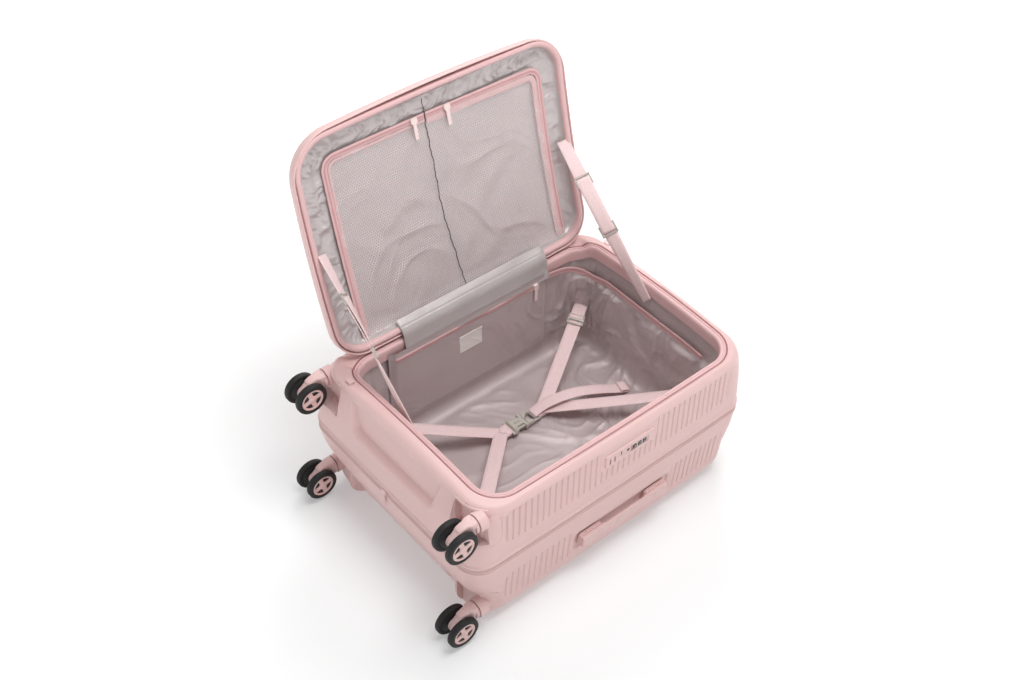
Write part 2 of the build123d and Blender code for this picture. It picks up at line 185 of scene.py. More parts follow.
def join(name, objs):
    objs = [o for o in objs if o is not None]
    for o in bpy.context.view_layer.objects:
        o.select_set(False)
    for o in objs:
        o.select_set(True)
    bpy.context.view_layer.objects.active = objs[0]
    bpy.ops.object.join()
    o = bpy.context.view_layer.objects.active
    o.name = name
    o.data.name = name
    return o


def rloop(x0, x1, y0, y1, r, bow=(0.0, 0.0), nx=None, ny=None, na=None):
    """Rounded rectangle, counter-clockwise from the start of the lock side, its sides bowed out a little.
    r is one corner radius, or one for the lock side and one for the hinge side."""
    nx, ny, na = nx or NX, ny or NY, na or NA
    r, q = (r, r) if np.ndim(r) == 0 else r
    tx, ty, ta = np.arange(nx) / nx, np.arange(ny) / ny, np.arange(na) / na * math.pi / 2
    bx, by = bow[0] * (1 - (2 * ty - 1) ** 2), bow[1] * (1 - (2 * tx - 1) ** 2)
    bh = bow[-1] * (1 - (2 * tx - 1) ** 2)
    seg = [np.stack([lerp(x0 + r, x1 - r, tx), y0 - by], 1),
           np.stack([x1 - r + r * np.sin(ta), y0 + r - r * np.cos(ta)], 1),
           np.stack([x1 + bx, lerp(y0 + r, y1 - q, ty)], 1),
           np.stack([x1 - q + q * np.cos(ta), y1 - q + q * np.sin(ta)], 1),
           np.stack([lerp(x1 - q, x0 + q, tx), y1 + bh], 1),
           np.stack([x0 + q - q * np.sin(ta), y1 - q + q * np.cos(ta)], 1),
           np.stack([x0 - bx, lerp(y1 - q, y0 + r, ty)], 1),
           np.stack([x0 + r - r * np.cos(ta), y0 + r - r * np.sin(ta)], 1)]
    return np.concatenate(seg)


def normals(L):
    t = np.roll(L, -1, 0) - np.roll(L, 1, 0)
    n = np.stack([t[:, 1], -t[:, 0]], 1)
    return n / np.linalg.norm(n, axis=1)[:, None]


def arclen(L):
    return np.concatenate([[0], np.cumsum(np.linalg.norm(np.roll(L, -1, 0) - L, axis=-1))])


def loop_uv(L, nv, ulen=1.0, vs=None):
    s = arclen(L) / ulen
    v = np.linspace(0, 1, nv) if vs is None else np.asarray(vs, float)
    return np.stack(np.broadcast_arrays(s[:, None], v[None, :]), -1)


def rbox_sd(x, z, x0, x1, z0, z1, r):
    """Signed distance to a rounded rectangle, negative inside."""
    qx = np.abs(x - (x0 + x1) / 2) - (x1 - x0) / 2 + r
    qz = np.abs(z - (z0 + z1) / 2) - (z1 - z0) / 2 + r
    return np.hypot(np.maximum(qx, 0), np.maximum(qz, 0)) + np.minimum(np.maximum(qx, qz), 0) - r


# ---------------------------------------------------------------- materials
def new_mat(name):
    m = bpy.data.materials.new(name)
    m.use_nodes = True
    nt = m.node_tree
    nt.nodes.clear()
    out = nt.nodes.new("ShaderNodeOutputMaterial")
    return m, nt, out


def nd(nt, kind, props=None, **ins):
    n = nt.nodes.new(kind)
    for k, v in (props or {}).items():
        setattr(n, k, v)
    for k, v in ins.items():
        key = k.replace("_", " ")
        sock = n.inputs[key] if key in n.inputs else n.inputs[int(k[1:])]
        if hasattr(v, "is_output"):
            nt.links.new(v, sock)
        else:
            sock.default_value = v
    return n


def math_n(nt, op, a, b=None, c=None, clamp=False):
    n = nt.nodes.new("ShaderNodeMath")
    n.operation = op
    n.use_clamp = clamp
    for i, v in enumerate((a, b, c)):
        if v is None:
            continue
        if hasattr(v, "is_output"):
            nt.links.new(v, n.inputs[i])
        else:
            n.inputs[i].default_value = v
    return n.outputs[0]


def ramp01(nt, x, lo, hi):
    n = nt.nodes.new("ShaderNodeMapRange")
    n.interpolation_type = "SMOOTHSTEP"
    nt.links.new(x, n.inputs[0])
    n.inputs[1].default_value, n.inputs[2].default_value = lo, hi
    return n.outputs[0]


def mixc(nt, fac, a, b):
    n = nt.nodes.new("ShaderNodeMix")
    n.data_type = "RGBA"
    for sock, v in ((n.inputs[0], fac), (n.inputs[6], a), (n.inputs[7], b)):
        if hasattr(v, "is_output"):
            nt.links.new(v, sock)
        else:
            sock.default_value = v
    return n.outputs[2]


def rgba(c, k=1.0):
    return (c[0] * k, c[1] * k, c[2] * k, 1.0)


def plastic(name, col, rough=0.45, grain=1100.0, bump=0.06, var=0.035, spec=0.45, metallic=0.0, big=0.0, sss=0.0):
    m, nt, out = new_mat(name)
    tc = nd(nt, "ShaderNodeTexCoord").outputs["Object"]
    fine = nd(nt, "ShaderNodeTexNoise", Vector=tc, Scale=grain, Detail=2.0)
    soft = nd(nt, "ShaderNodeTexNoise", Vector=tc, Scale=7.0, Detail=3.0)
    h = fine.outputs[0]
    b = nd(nt, "ShaderNodeBump", Height=h, Strength=bump, Distance=0.0004)
    base = mixc(nt, soft.outputs[0], rgba(col, 1 - var), rgba(col, 1 + var))
    r = nd(nt, "ShaderNodeMapRange", _0=soft.outputs[0], _3=rough - 0.05, _4=rough + 0.05)
    p = nd(nt, "ShaderNodeBsdfPrincipled", Normal=b.outputs[0], Metallic=metallic)
    nt.links.new(base, p.inputs["Base Color"])
    nt.links.new(r.outputs[0], p.inputs["Roughness"])
    p.inputs["Specular IOR Level"].default_value = spec
    if sss:
        p.inputs["Subsurface Weight"].default_value = sss
        p.inputs["Subsurface Radius"].default_value = (0.004, 0.002, 0.0018)
    nt.links.new(p.outputs[0], out.inputs[0])
    return m


def satin(name, col, rough=0.4, wrinkle=0.25, var=0.06, metal=0.15):
    """Thin woven lining cloth: fine rip-stop weave, small creases, a soft sheen."""
    m, nt, out = new_mat(name)
    tc = nd(nt, "ShaderNodeTexCoord").outputs["Object"]
    n1 = nd(nt, "ShaderNodeTexNoise", Vector=tc, Scale=38.0, Detail=5.0, Roughness=0.55, Distortion=0.6)
    n2 = nd(nt, "ShaderNodeTexNoise", Vector=tc, Scale=9.0, Detail=2.0)
    weave = nd(nt, "ShaderNodeTexChecker", Vector=tc, Scale=900.0)
    b1 = nd(nt, "ShaderNodeBump", Height=n1.outputs[0], Strength=wrinkle, Distance=0.004)
    b2 = nd(nt, "ShaderNodeBump", Height=weave.outputs[1], Strength=0.05, Distance=0.0003, Normal=b1.outputs[0])
    base = mixc(nt, n2.outputs[0], rgba(col, 1 - var), rgba(col, 1 + var))
    p = nd(nt, "ShaderNodeBsdfPrincipled", Normal=b2.outputs[0], Roughness=rough, Metallic=metal)
    nt.links.new(base, p.inputs["Base Color"])
    p.inputs["Specular IOR Level"].default_value = 0.6
    p.inputs["Sheen Weight"].default_value = 0.25
    p.inputs["Sheen Roughness"].default_value = 0.4
    nt.links.new(p.outputs[0], out.inputs[0])
    return m


def uv_xy(nt):
    uv = nd(nt, "ShaderNodeUVMap")
    sep = nd(nt, "ShaderNodeSeparateXYZ", Vector=uv.outputs[0])
    return sep.outputs[0], sep.outputs[1], uv.outputs[0]


def webbing(name, col):
    """Woven tape. UV: u in mm along it, v 0 to 1 across 26 mm."""
    m, nt, out = new_mat(name)
    u, v, _ = uv_xy(nt)
    vv = math_n(nt, "MULTIPLY", math_n(nt, "PINGPONG", math_n(nt, "MULTIPLY", v, 26.0), 3.25), 1.0)
    ph = math_n(nt, "ADD", math_n(nt, "MULTIPLY", u, 0.62), math_n(nt, "MULTIPLY", vv, 0.62))
    s = math_n(nt, "SINE", math_n(nt, "MULTIPLY", ph, 6.2832))
    edge = math_n(nt, "ABSOLUTE", math_n(nt, "SUBTRACT", v, 0.5))
    rim = ramp01(nt, edge, 0.44, 0.47)
    h = math_n(nt, "ADD", math_n(nt, "MULTIPLY", s, 0.5), math_n(nt, "MULTIPLY", rim, 0.8))
    tc = nd(nt, "ShaderNodeTexCoord").outputs["Object"]
    n = nd(nt, "ShaderNodeTexNoise", Vector=tc, Scale=300.0, Detail=3.0)
    b = nd(nt, "ShaderNodeBump", Height=h, Strength=0.35, Distance=0.0005)
    f = math_n(nt, "MULTIPLY_ADD", s, 0.22, n.outputs[0])
    base = mixc(nt, f, rgba(col, 0.86), rgba(col, 1.08))
    p = nd(nt, "ShaderNodeBsdfPrincipled", Normal=b.outputs[0], Roughness=0.62)
    nt.links.new(base, p.inputs["Base Color"])
    p.inputs["Sheen Weight"].default_value = 0.25
    nt.links.new(p.outputs[0], out.inputs[0])
    return m


def zipper(name, tape, chain, half=0.17, gap_shade_depth=0.45):
    """Zip tape, the chain darkened between its teeth as painted shade. UV: u in teeth along it, v 0 to 1 across."""
    m, nt, out = new_mat(name)
    u, v, _ = uv_xy(nt)
    d = math_n(nt, "ABSOLUTE", math_n(nt, "SUBTRACT", v, 0.5))
    c = math_n(nt, "SUBTRACT", 1.0, ramp01(nt, d, half * 0.85, half * 1.15))
    t = math_n(nt, "PINGPONG", u, 0.5)
    teeth = ramp01(nt, t, 0.1, 0.4)
    h = math_n(nt, "MULTIPLY", c, math_n(nt, "MULTIPLY_ADD", teeth, 0.6, 0.4))
    tc = nd(nt, "ShaderNodeTexCoord").outputs["Object"]
    n = nd(nt, "ShaderNodeTexNoise", Vector=tc, Scale=420.0, Detail=2.0)
    h2 = math_n(nt, "MULTIPLY_ADD", n.outputs[0], 0.15, h)
    b = nd(nt, "ShaderNodeBump", Height=h2, Strength=0.6, Distance=0.0009)
    # painted shade: the chain is darkened between its teeth
    gap_shade = math_n(nt, "MULTIPLY", c, math_n(nt, "SUBTRACT", 1.0, teeth))
    base = mixc(nt, c, rgba(tape), rgba(chain))
    base = mixc(nt, math_n(nt, "MULTIPLY", gap_shade, gap_shade_depth), base, rgba(chain, 0.55))
    p = nd(nt, "ShaderNodeBsdfPrincipled", Normal=b.outputs[0], Roughness=0.55)
    nt.links.new(base, p.inputs["Base Color"])
    nt.links.new(p.outputs[0], out.inputs[0])
    return m


def netting(name, col, cell=5.2, thread=0.13):
    """Open net of six-sided cells. UV in mm, all above 0."""
    m, nt, out = new_mat(name)
    _, _, uv = uv_xy(nt)

    def vm(op, a, b=None, which=0):
        n = nt.nodes.new("ShaderNodeVectorMath")
        n.operation = op
        for i, x in enumerate((a, b)):
            if x is None:
                continue
            if hasattr(x, "is_output"):
                nt.links.new(x, n.inputs[i])
            else:
                n.inputs[i].default_value = x
        return n.outputs[which]

    p = vm("MULTIPLY", uv, (1 / cell, 1 / cell, 0))
    r, hh = (1.0, 1.7320508, 1.0), (0.5, 0.8660254, 0.0)
    a = vm("SUBTRACT", vm("MODULO", p, r), hh)
    b = vm("SUBTRACT", vm("MODULO", vm("ADD", p, hh), r), hh)
    la, lb = vm("LENGTH", a, None, 1), vm("LENGTH", b, None, 1)
    pick = math_n(nt, "LESS_THAN", lb, la)
    mx = nt.nodes.new("ShaderNodeMix")
    mx.data_type = "VECTOR"
    nt.links.new(pick, mx.inputs[0])
    nt.links.new(a, mx.inputs[4])
    nt.links.new(b, mx.inputs[5])
    g = vm("ABSOLUTE", mx.outputs[1])
    d1 = vm("DOT_PRODUCT", g, (0.5, 0.8660254, 0.0), 1)
    gx = nd(nt, "ShaderNodeSeparateXYZ", Vector=g).outputs[0]
    e = math_n(nt, "SUBTRACT", 0.5, math_n(nt, "MAXIMUM", d1, gx))
    mask = math_n(nt, "SUBTRACT", 1.0, ramp01(nt, e, thread * 0.8, thread * 1.25))
    bump = nd(nt, "ShaderNodeBump", Height=mask, Strength=0.4, Distance=0.0006)
    tc = nd(nt, "ShaderNodeTexCoord").outputs["Object"]
    n = nd(nt, "ShaderNodeTexNoise", Vector=tc, Scale=200.0, Detail=2.0)
    base = mixc(nt, n.outputs[0], rgba(col, 0.85), rgba(col, 1.1))
    s = nd(nt, "ShaderNodeBsdfPrincipled", Normal=bump.outputs[0], Roughness=0.5)
    nt.links.new(base, s.inputs["Base Color"])
    tr = nd(nt, "ShaderNodeBsdfTransparent")
    mix = nt.nodes.new("ShaderNodeMixShader")
    nt.links.new(mask, mix.inputs[0])
    nt.links.new(tr.outputs[0], mix.inputs[1])
    nt.links.new(s.outputs[0], mix.inputs[2])
    nt.links.new(mix.outputs[0], out.inputs[0])
    return m


PINK = (0.76, 0.52, 0.505)
M_SHELL = plastic("shell_pink", PINK, 0.42, 1000, 0.04, 0.015, 0.4)
# painted shade: dark red standing for the shaded inside of the rim groove and of the lock plate's slots and edge gap
M_GAP_SHADE = plastic("groove_red_painted_shade", (0.33, 0.115, 0.125), 0.5)
M_TRIM = plastic("trim_pink", (0.755, 0.525, 0.51), 0.40, 1000, 0.05, 0.03)
# the beads are darker and redder than the shell: partly their own tone, partly painted shade
M_BEAD_TONE_AND_SHADE = plastic("bead_pink_tone_and_shade", (0.73, 0.475, 0.475), 0.5, 1600, 0.10, 0.03)
M_LINING = satin("lining_satin", (0.53, 0.445, 0.445), 0.52, 0.24, 0.06, 0.28)
M_SLEEVE = satin("sleeve_satin", (0.50, 0.455, 0.445), 0.38, 0.10)
M_LIDLIN = satin("lid_lining_satin", (0.55, 0.495, 0.49), 0.38, 0.28, 0.06, 0.3)
M_DARK = plastic("seam_dark", (0.07, 0.062, 0.062), 0.7, 900, 0.2, 0.1)
M_WEB = webbing("webbing_pink", (0.87, 0.655, 0.655))
M_ZIP = zipper("zip_pink", (0.74, 0.46, 0.46), (0.66, 0.36, 0.37))
M_EZIP = zipper("zip_expand", (0.75, 0.52, 0.505), (0.74, 0.50, 0.49), 0.12, 0.8)
M_NET = netting("pocket_net", (0.80, 0.69, 0.69), 4.6, 0.12)
M_BIND = webbing("binding_pink", (0.74, 0.50, 0.50))
M_GREY = plastic("buckle_grey", (0.50, 0.47, 0.42), 0.36, 900, 0.05, 0.05)
M_PULL = plastic("pull_paint", (0.84, 0.68, 0.66), 0.35, 900, 0.04, 0.03)
M_TYRE = plastic("tyre_rubber", (0.018, 0.017, 0.017), 0.62, 700, 0.25, 0.2, 0.35)
M_HUB = plastic("hub_pink", (0.74, 0.50, 0.48), 0.38, 900, 0.05, 0.03)
M_STEEL = plastic("steel", (0.55, 0.54, 0.53), 0.3, 900, 0.05, 0.05, 0.5, 1.0)
M_TUBE = plastic("tube_alu", (0.70, 0.66, 0.65), 0.28, 900, 0.04, 0.03, 0.5, 1.0)
M_BLACK = plastic("black_plastic", (0.02, 0.02, 0.021), 0.5, 900, 0.1, 0.1)
M_PATCH = satin("patch_cloth", (0.78, 0.74, 0.70), 0.55, 0.06, 0.03, 0.0)
M_WHITE = plastic("digit_white", (0.8, 0.8, 0.78), 0.5, 900, 0.05, 0.02)


def show(node, mat, bevel=None):
    o = NODES[node]
    o.data.materials.clear()
    o.data.materials.append(mat)
    if bevel:
        b = o.modifiers.new("Bevel", "BEVEL")
        b.width = bevel * MM
        b.segments = 3
        b.limit_method = "ANGLE"
        b.angle_limit = math.radians(40)
        b.harden_normals = False
    return o


# ---------------------------------------------------------------- front shell
def rim_z(x, y):
    """Height of the case rim: arched across the width and let down along the hinge."""
    z = archz(y)
    low = sstep(266, 256, np.abs(x)) * sstep(150, 172, y)
    return lerp(z, LEDGE, low)


def front_disp(x, y, z, nx, ny):
    d = np.zeros_like(x)
    side = sstep(0.80, 0.97, np.abs(ny))
    sd = rbox_sd(x, z, -258, 244, 192, 272, 18)
    lock = np.where(y < 0, rbox_sd(x, z, -60, 66, 225, 275, 5), 50.0)
    inside = sstep(1.0, -1.0, sd) * sstep(-1.0, 1.0, lock)
    ph = ((x + 258) / PITCH) % 1.0
    groove = sstep(0.19, 0.10, np.abs(ph - 0.5)) * sstep(-3.5, -6.0, sd) * sstep(1.0, 4.0, lock)
    d = d + side * (-0.8 * inside - 2.1 * groove * inside)
    end = sstep(0.90, 0.98, -nx)
    # panel of the wheel end, stepped in all round: sharp under the rim, sloped at its sides and foot
    half = 103 + (z - 216) / 60.0 * 18.0
    a, b = (np.abs(y) - half) * 0.95, 216 - z
    td = np.where((a > -9) & (b > -9), np.hypot(np.maximum(a + 9, 0), np.maximum(b + 9, 0)) - 9, np.maximum(a, b))
    up = z - (archz(y) - 18.5)
    d = d + end * (-(4.0 + 9.0 * np.clip((274 - z) / 58.0, 0, 1)) * np.clip(-td / 8.0, 0, 1) * sstep(0.0, -1.9, up) + 1.3 * np.exp(-((td - 3.0) / 1.9) ** 2) * sstep(-8, -20, up))
    # the wheel housings stand a little proud of the corners, with a seam round them
    hs = np.where((x < -230) & (np.abs(y) > 152), rbox_sd(x, z, -340, -263, 216, 274, 13), 50.0)
    d = d + 1.1 * sstep(0.3, -0.9, hs) - 1.0 * np.exp(-((hs - 0.9) / 0.75) ** 2)
    return d


def pocket(P, z0, z1):
    """Let the shell in at the two wheel-end corners, where the pads of the wheel housings sit."""
    m = (np.abs(P[..., 1]) > 151.3) & (P[..., 2] > z0) & (P[..., 2] < z1) & (P[..., 0] < PAD_X + 2.0)
    P[..., 0] = np.where(m, PAD_X + 2.0, P[..., 0])


def waist():
    return rloop(XW - BELLY, XT + 3, -WB - 0.5, WB + 10, 38.0, (1.0, 2.0))


def make_front():
    O = rloop(XW, XT, -WB, WB, RC, (1.0, 2.0))
    O1 = waist()
    G = rloop(GX0, GX1, GY0, GY1, GR, (0.6, 1.5))
    rim = rim_z(O[:, 0], O[:, 1])
    rim_g = rim_z(G[:, 0], G[:, 1])
    rows = []

    def add(inset, z):
        z = np.broadcast_to(z, len(O))
        p = lerp(O, O1, swell(z)[:, None])
        n = normals(p)
        if inset is None:
            inset = -front_disp(p[:, 0], p[:, 1], z, n[:, 0], n[:, 1])
        rows.append(np.column_stack([p - n * np.broadcast_to(inset, len(O))[:, None], z]))

    for i, z in ((4.0, 0.2), (0.5, 0.0), (-1.4, 0.4), (-2.2, 1.5), (-2.4, 2.8), (-2.1, 4.1), (-1.1, 5.3), (-0.2, 6.2), (0, 8.0)):
        add(i, Z_FRONT + z)
    top = rim - 16.0
    for t in np.linspace(0, 1, 86)[1:]:
        add(None, lerp(Z_FRONT + 8, top, t))
    d = G - O
    w = np.linalg.norm(d, axis=1)
    u = d / w[:, None]
    reach = np.minimum(16.0, w - 1.0)
    for th in np.radians(np.linspace(0, 90, 11))[1:]:
        p = O + u * (reach * (1 - math.cos(th)))[:, None]
        rows.append(np.column_stack([p, top + 16 * math.sin(th)]))
    f = (w - 1.0 - reach)
    for k in (0.5, 1.0):
        p = O + u * (reach + f * k)[:, None]
        rows.append(np.column_stack([p, lerp(rim, rim_g, k)]))
    for a, z in ((0.25, -0.3), (0.0, -1.2), (0.0, -8.0)):
        rows.append(np.column_stack([G - u * a, rim_g + z]))
    P = np.stack(rows, 1)
    pocket(P, 219.5, 279.0)
    return grid_mesh("shell_front", P, M_SHELL, cu=True)


# ---------------------------------------------------------------- back shell
def back_loop(z):
    t, k = max(Z_DRAFT - z, 0.0) / Z_DRAFT, float(swell(z))
    return rloop(XW + t - BELLY * k, XT - 7 * t + 3 * k, -WB + 7 * t - 0.5 * k, WB - 7 * t + 10 * k, lerp(RC - 4 * t, 38.0, k), (0.9, 1.8))


def back_disp(x, y, z, nx, ny):
    side = sstep(0.80, 0.97, np.abs(ny))
    sd = rbox_sd(x, z, -256, 246, 42, 117, 16)
    grip = np.where(y < 0, rbox_sd(x, z, -106, 116, 54, 101, 12), 50.0)
    clear = np.where(y < 0, rbox_sd(x, z, -108, 118, 30, 140, 8), 50.0)
    inside = sstep(1.0, -1.0, sd) * sstep(-1.0, 1.0, clear)
    ph = ((x + 256) / PITCH) % 1.0
    groove = sstep(0.19, 0.10, np.abs(ph - 0.5)) * sstep(-4.0, -6.5, sd) * sstep(1.0, 4.0, clear)
    d = side * (-0.8 * inside - 2.1 * groove * inside - 4.5 * sstep(0.0, -6.0, grip))
    end = sstep(0.90, 0.98, -nx)
    nt = rbox_sd(np.abs(y), z, 113, 146, -20, 66, 5)
    low = 20.0 * np.clip((76 - z) / 66.0, 0, 1) ** 1.15 * sstep(0.0, -4.0, np.abs(y) - 118)
    d = d + end * np.minimum(-14.0 * sstep(0.3, -1.7, nt), -low)
    hs = np.where((x < -230) & (np.abs(y) > 152), rbox_sd(x, z, -340, -263, -30, 79, 13), 50.0)
    return d + 1.1 * sstep(0.3, -0.9, hs) - 1.0 * np.exp(-((hs - 0.9) / 0.75) ** 2)


def make_back():
    rows = []

    def add(inset, z):
        L = back_loop(z)
        N = normals(L)
        rows.append(np.column_stack([L - N * np.broadcast_to(inset, len(L))[:, None], np.full(len(L), z)]))

    for i, z in ((4.0, 0.2), (0.5, 0.0), (-1.4, 0.4), (-2.2, 1.5), (-2.4, 2.8), (-2.1, 4.1), (-1.1, 5.3), (-0.2, 6.2), (0, 7.5)):
        add(i, Z_BACK - z)
    for z in np.linspace(Z_BACK - 7.5, 40, 72)[1:]:
        L = back_loop(z)
        N = normals(L)
        zz = np.full(len(L), z)
        add(-back_disp(L[:, 0], L[:, 1], zz, N[:, 0], N[:, 1]), z)
    L = back_loop(40.0)
    N = normals(L)
    zz = np.full(len(L), 40.0)
    for th in np.radians(np.linspace(0, 90, 20))[1:]:
        zt = 40 - 38.6 * math.sin(th)
        dd = back_disp(L[:, 0], L[:, 1], zz * 0 + zt, N[:, 0], N[:, 1])
        i = 40 * (1 - math.cos(th)) - dd * math.cos(th)
        rows.append(np.column_stack([L - N * i[:, None], np.full(len(L), zt)]))
    c = L - N * 40.0
    mid = np.array([(L[:, 0].min() + L[:, 0].max()) / 2, 0.0])
    for k in (0.9, 0.6):
        rows.append(np.column_stack([mid + (c - mid) * k, np.full(len(L), 1.4)]))
    P = np.stack(rows, 1)
    pocket(P, 6.5, 74.5)
    o = grid_mesh("shell_back", P, M_SHELL, cu=True, flip=True, caps=("v1",))
    bm = bmesh.new()
    bm.from_mesh(o.data)
    mouth = [f for f in bm.faces if len(f.verts) == 4 and all(v.co.x > 0.25 and abs(v.co.y) < 0.1095 and 0.0238 < v.co.z < 0.0525 for v in f.verts)]
    bmesh.ops.delete(bm, geom=mouth, context="FACES")
    bm.to_mesh(o.data)
    bm.free()
    return o


def bar(name, x0, x1, y0, y1, z0, z1, r, mat, seg=3):
    bm = bmesh.new()
    bmesh.ops.create_cube(bm, size=1.0)
    for v in bm.verts:
        v.co = Vector(((x0 if v.co.x < 0 else x1) * MM, (y0 if v.co.y < 0 else y1) * MM, (z0 if v.co.z < 0 else z1) * MM))
    bmesh.ops.bevel(bm, geom=list(bm.edges), offset=r * MM, segments=seg, affect="EDGES", profile=0.5)
    me = bpy.data.meshes.new(name)
    bm.to_mesh(me)
    bm.free()
    me.polygons.foreach_set("use_smooth", np.full(len(me.polygons), True))
    return link(name, me, mat)


def make_band():
    L = waist()
    N = normals(L)
    prof = ((3.4, -6.2), (0.8, -5.7), (-0.6, -4.8), (-1.1, -3.6), (-0.7, -2.4), (0.5, -1.6), (0.9, -0.9), (0.9, 0.9), (0.5, 1.6), (-0.7, 2.4), (-1.1, 3.6), (-0.6, 4.8), (0.8, 5.7), (3.4, 6.2))
    P = np.stack([np.column_stack([L - N * i, np.full(len(L), z + (Z_BACK + Z_FRONT) / 2)]) for i, z in prof], 1)
    vs = [(z + 6.2) / 12.4 for _, z in prof]
    return grid_mesh("expansion_zip_band", P, M_EZIP, cu=True, uv=loop_uv(L, len(prof), 2.1, vs))


# ---------------------------------------------------------------- rim lip of the case
def make_rim():
    G = rloop(GX0, GX1, GY0, GY1, GR, (0.6, 1.5))
    N = normals(G)
    prof = ((1.6, -9.0), (2.1, -2.4), (2.6, -0.9), (3.4, 0.0), (4.4, 0.2), (5.4, -0.3), (6.2, -1.5), (6.8, -2.3), (7.3, -1.6), (8.4, -1.0), (10.0, -1.2),
            (11.6, -2.2), (12.8, -4.0), (13.4, -7.0), (13.6, -14.0), (13.6, -24.0))
    rows = []
    for i, dz in prof:
        p = G - N * i
        rows.append(np.column_stack([p, rim_z(p[:, 0], p[:, 1]) + dz - 0.3]))
    lip = grid_mesh("l", np.stack(rows, 1), M_BEAD_TONE_AND_SHADE, cu=True, uv=loop_uv(G, len(prof), 2.1))
    # a dark red strip at the foot of the groove between shell and lip, where the rim zip runs: painted shade
    rows = []
    for i in (-0.2, 2.2):
        p = G - N * i
        rows.append(np.column_stack([p, rim_z(p[:, 0], p[:, 1]) - 2.3]))
    return join("case_rim_lip", [lip, grid_mesh("g", np.stack(rows, 1), M_GAP_SHADE, cu=True, uv=loop_uv(G, 2, 2.1))])


# ---------------------------------------------------------------- lid
def lid_rows(prof, r=(LRF, LR), bow=(0.8, 2.0, 2.0)):
    L = rloop(LX0, LX1, LY0, LY1, r, bow)
    N = normals(L)
    rows = []
    for i, off in prof:
        p = L - N * i
        rows.append(np.column_stack([p, archz(p[:, 1], off)]))
    return L, rows


def make_lid():
    prof = [(4.6, 9.0), (3.7, 6.0), (3.3, 2.2), (2.6, 0.9), (1.5, 0.7), (0.5, 1.5), (0.0, 3.0), (0.0, 6.0), (0.0, 8.0), (0.0, 10.0)]
    prof += [(22 * (1 - math.cos(t)), 10 + 22 * math.sin(t)) for t in np.radians(np.linspace(0, 90, 13))[1:]]
    L, rows = lid_rows(prof, (LRF + 8, LR), (1.2, 5.0, 2.0))
    N = normals(L)
    mid = np.array([(LX0 + LX1) / 2, (LY0 + LY1) / 2])
    c = L - N * 22.0
    for k in (0.97, 0.85, 0.7, 0.55, 0.4, 0.25, 0.1):
        p = mid + (c - mid) * k
        rows.append(np.column_stack([p, archz(p[:, 1], 32.0)]))
    P = opened(np.stack(rows, 1))
    o = grid_mesh("shell_lid", P, M_SHELL, cu=True, caps=("v1",))
    ribs = []
    for x in np.arange(-232, 240, PITCH * 2):
        ys = np.linspace(-165, 135, 40)
        w = 8.0
        prof2 = [(-w, -0.4), (-w + 1.0, 0.9), (-w + 3, 1.3), (0, 1.4), (w - 3, 1.3), (w - 1.0, 0.9), (w, -0.4)]
        taper = np.minimum(1, np.minimum(ys + 165, 135 - ys) / 6.0 + 0.05)
        R = np.stack([np.column_stack([np.full(40, x) + a * (0.35 + 0.65 * np.sqrt(taper)), ys, archz(ys, 32.0 + h) - (1 - np.sqrt(taper)) * 1.5]) for a, h in prof2], 1)
        ribs.append(grid_mesh("r", opened(R), M_SHELL, flip=True))
    return o, join("lid_ribs", ribs)


def make_lid_bead():
    prof = [(4.4, 9.0), (5.2, 6.0), (5.5, 2.6), (6.0, 0.8), (7.2, -0.3), (9.2, -0.8), (11.6, -0.6), (13.6, 0.4), (14.9, 2.0), (15.6, 4.0), (15.8, 9.0)]
    L, rows = lid_rows(prof)
    return grid_mesh("lid_rim_bead", opened(np.stack(rows, 1)), M_BEAD_TONE_AND_SHADE, cu=True, flip=True, uv=loop_uv(L, len(prof), 2.1))


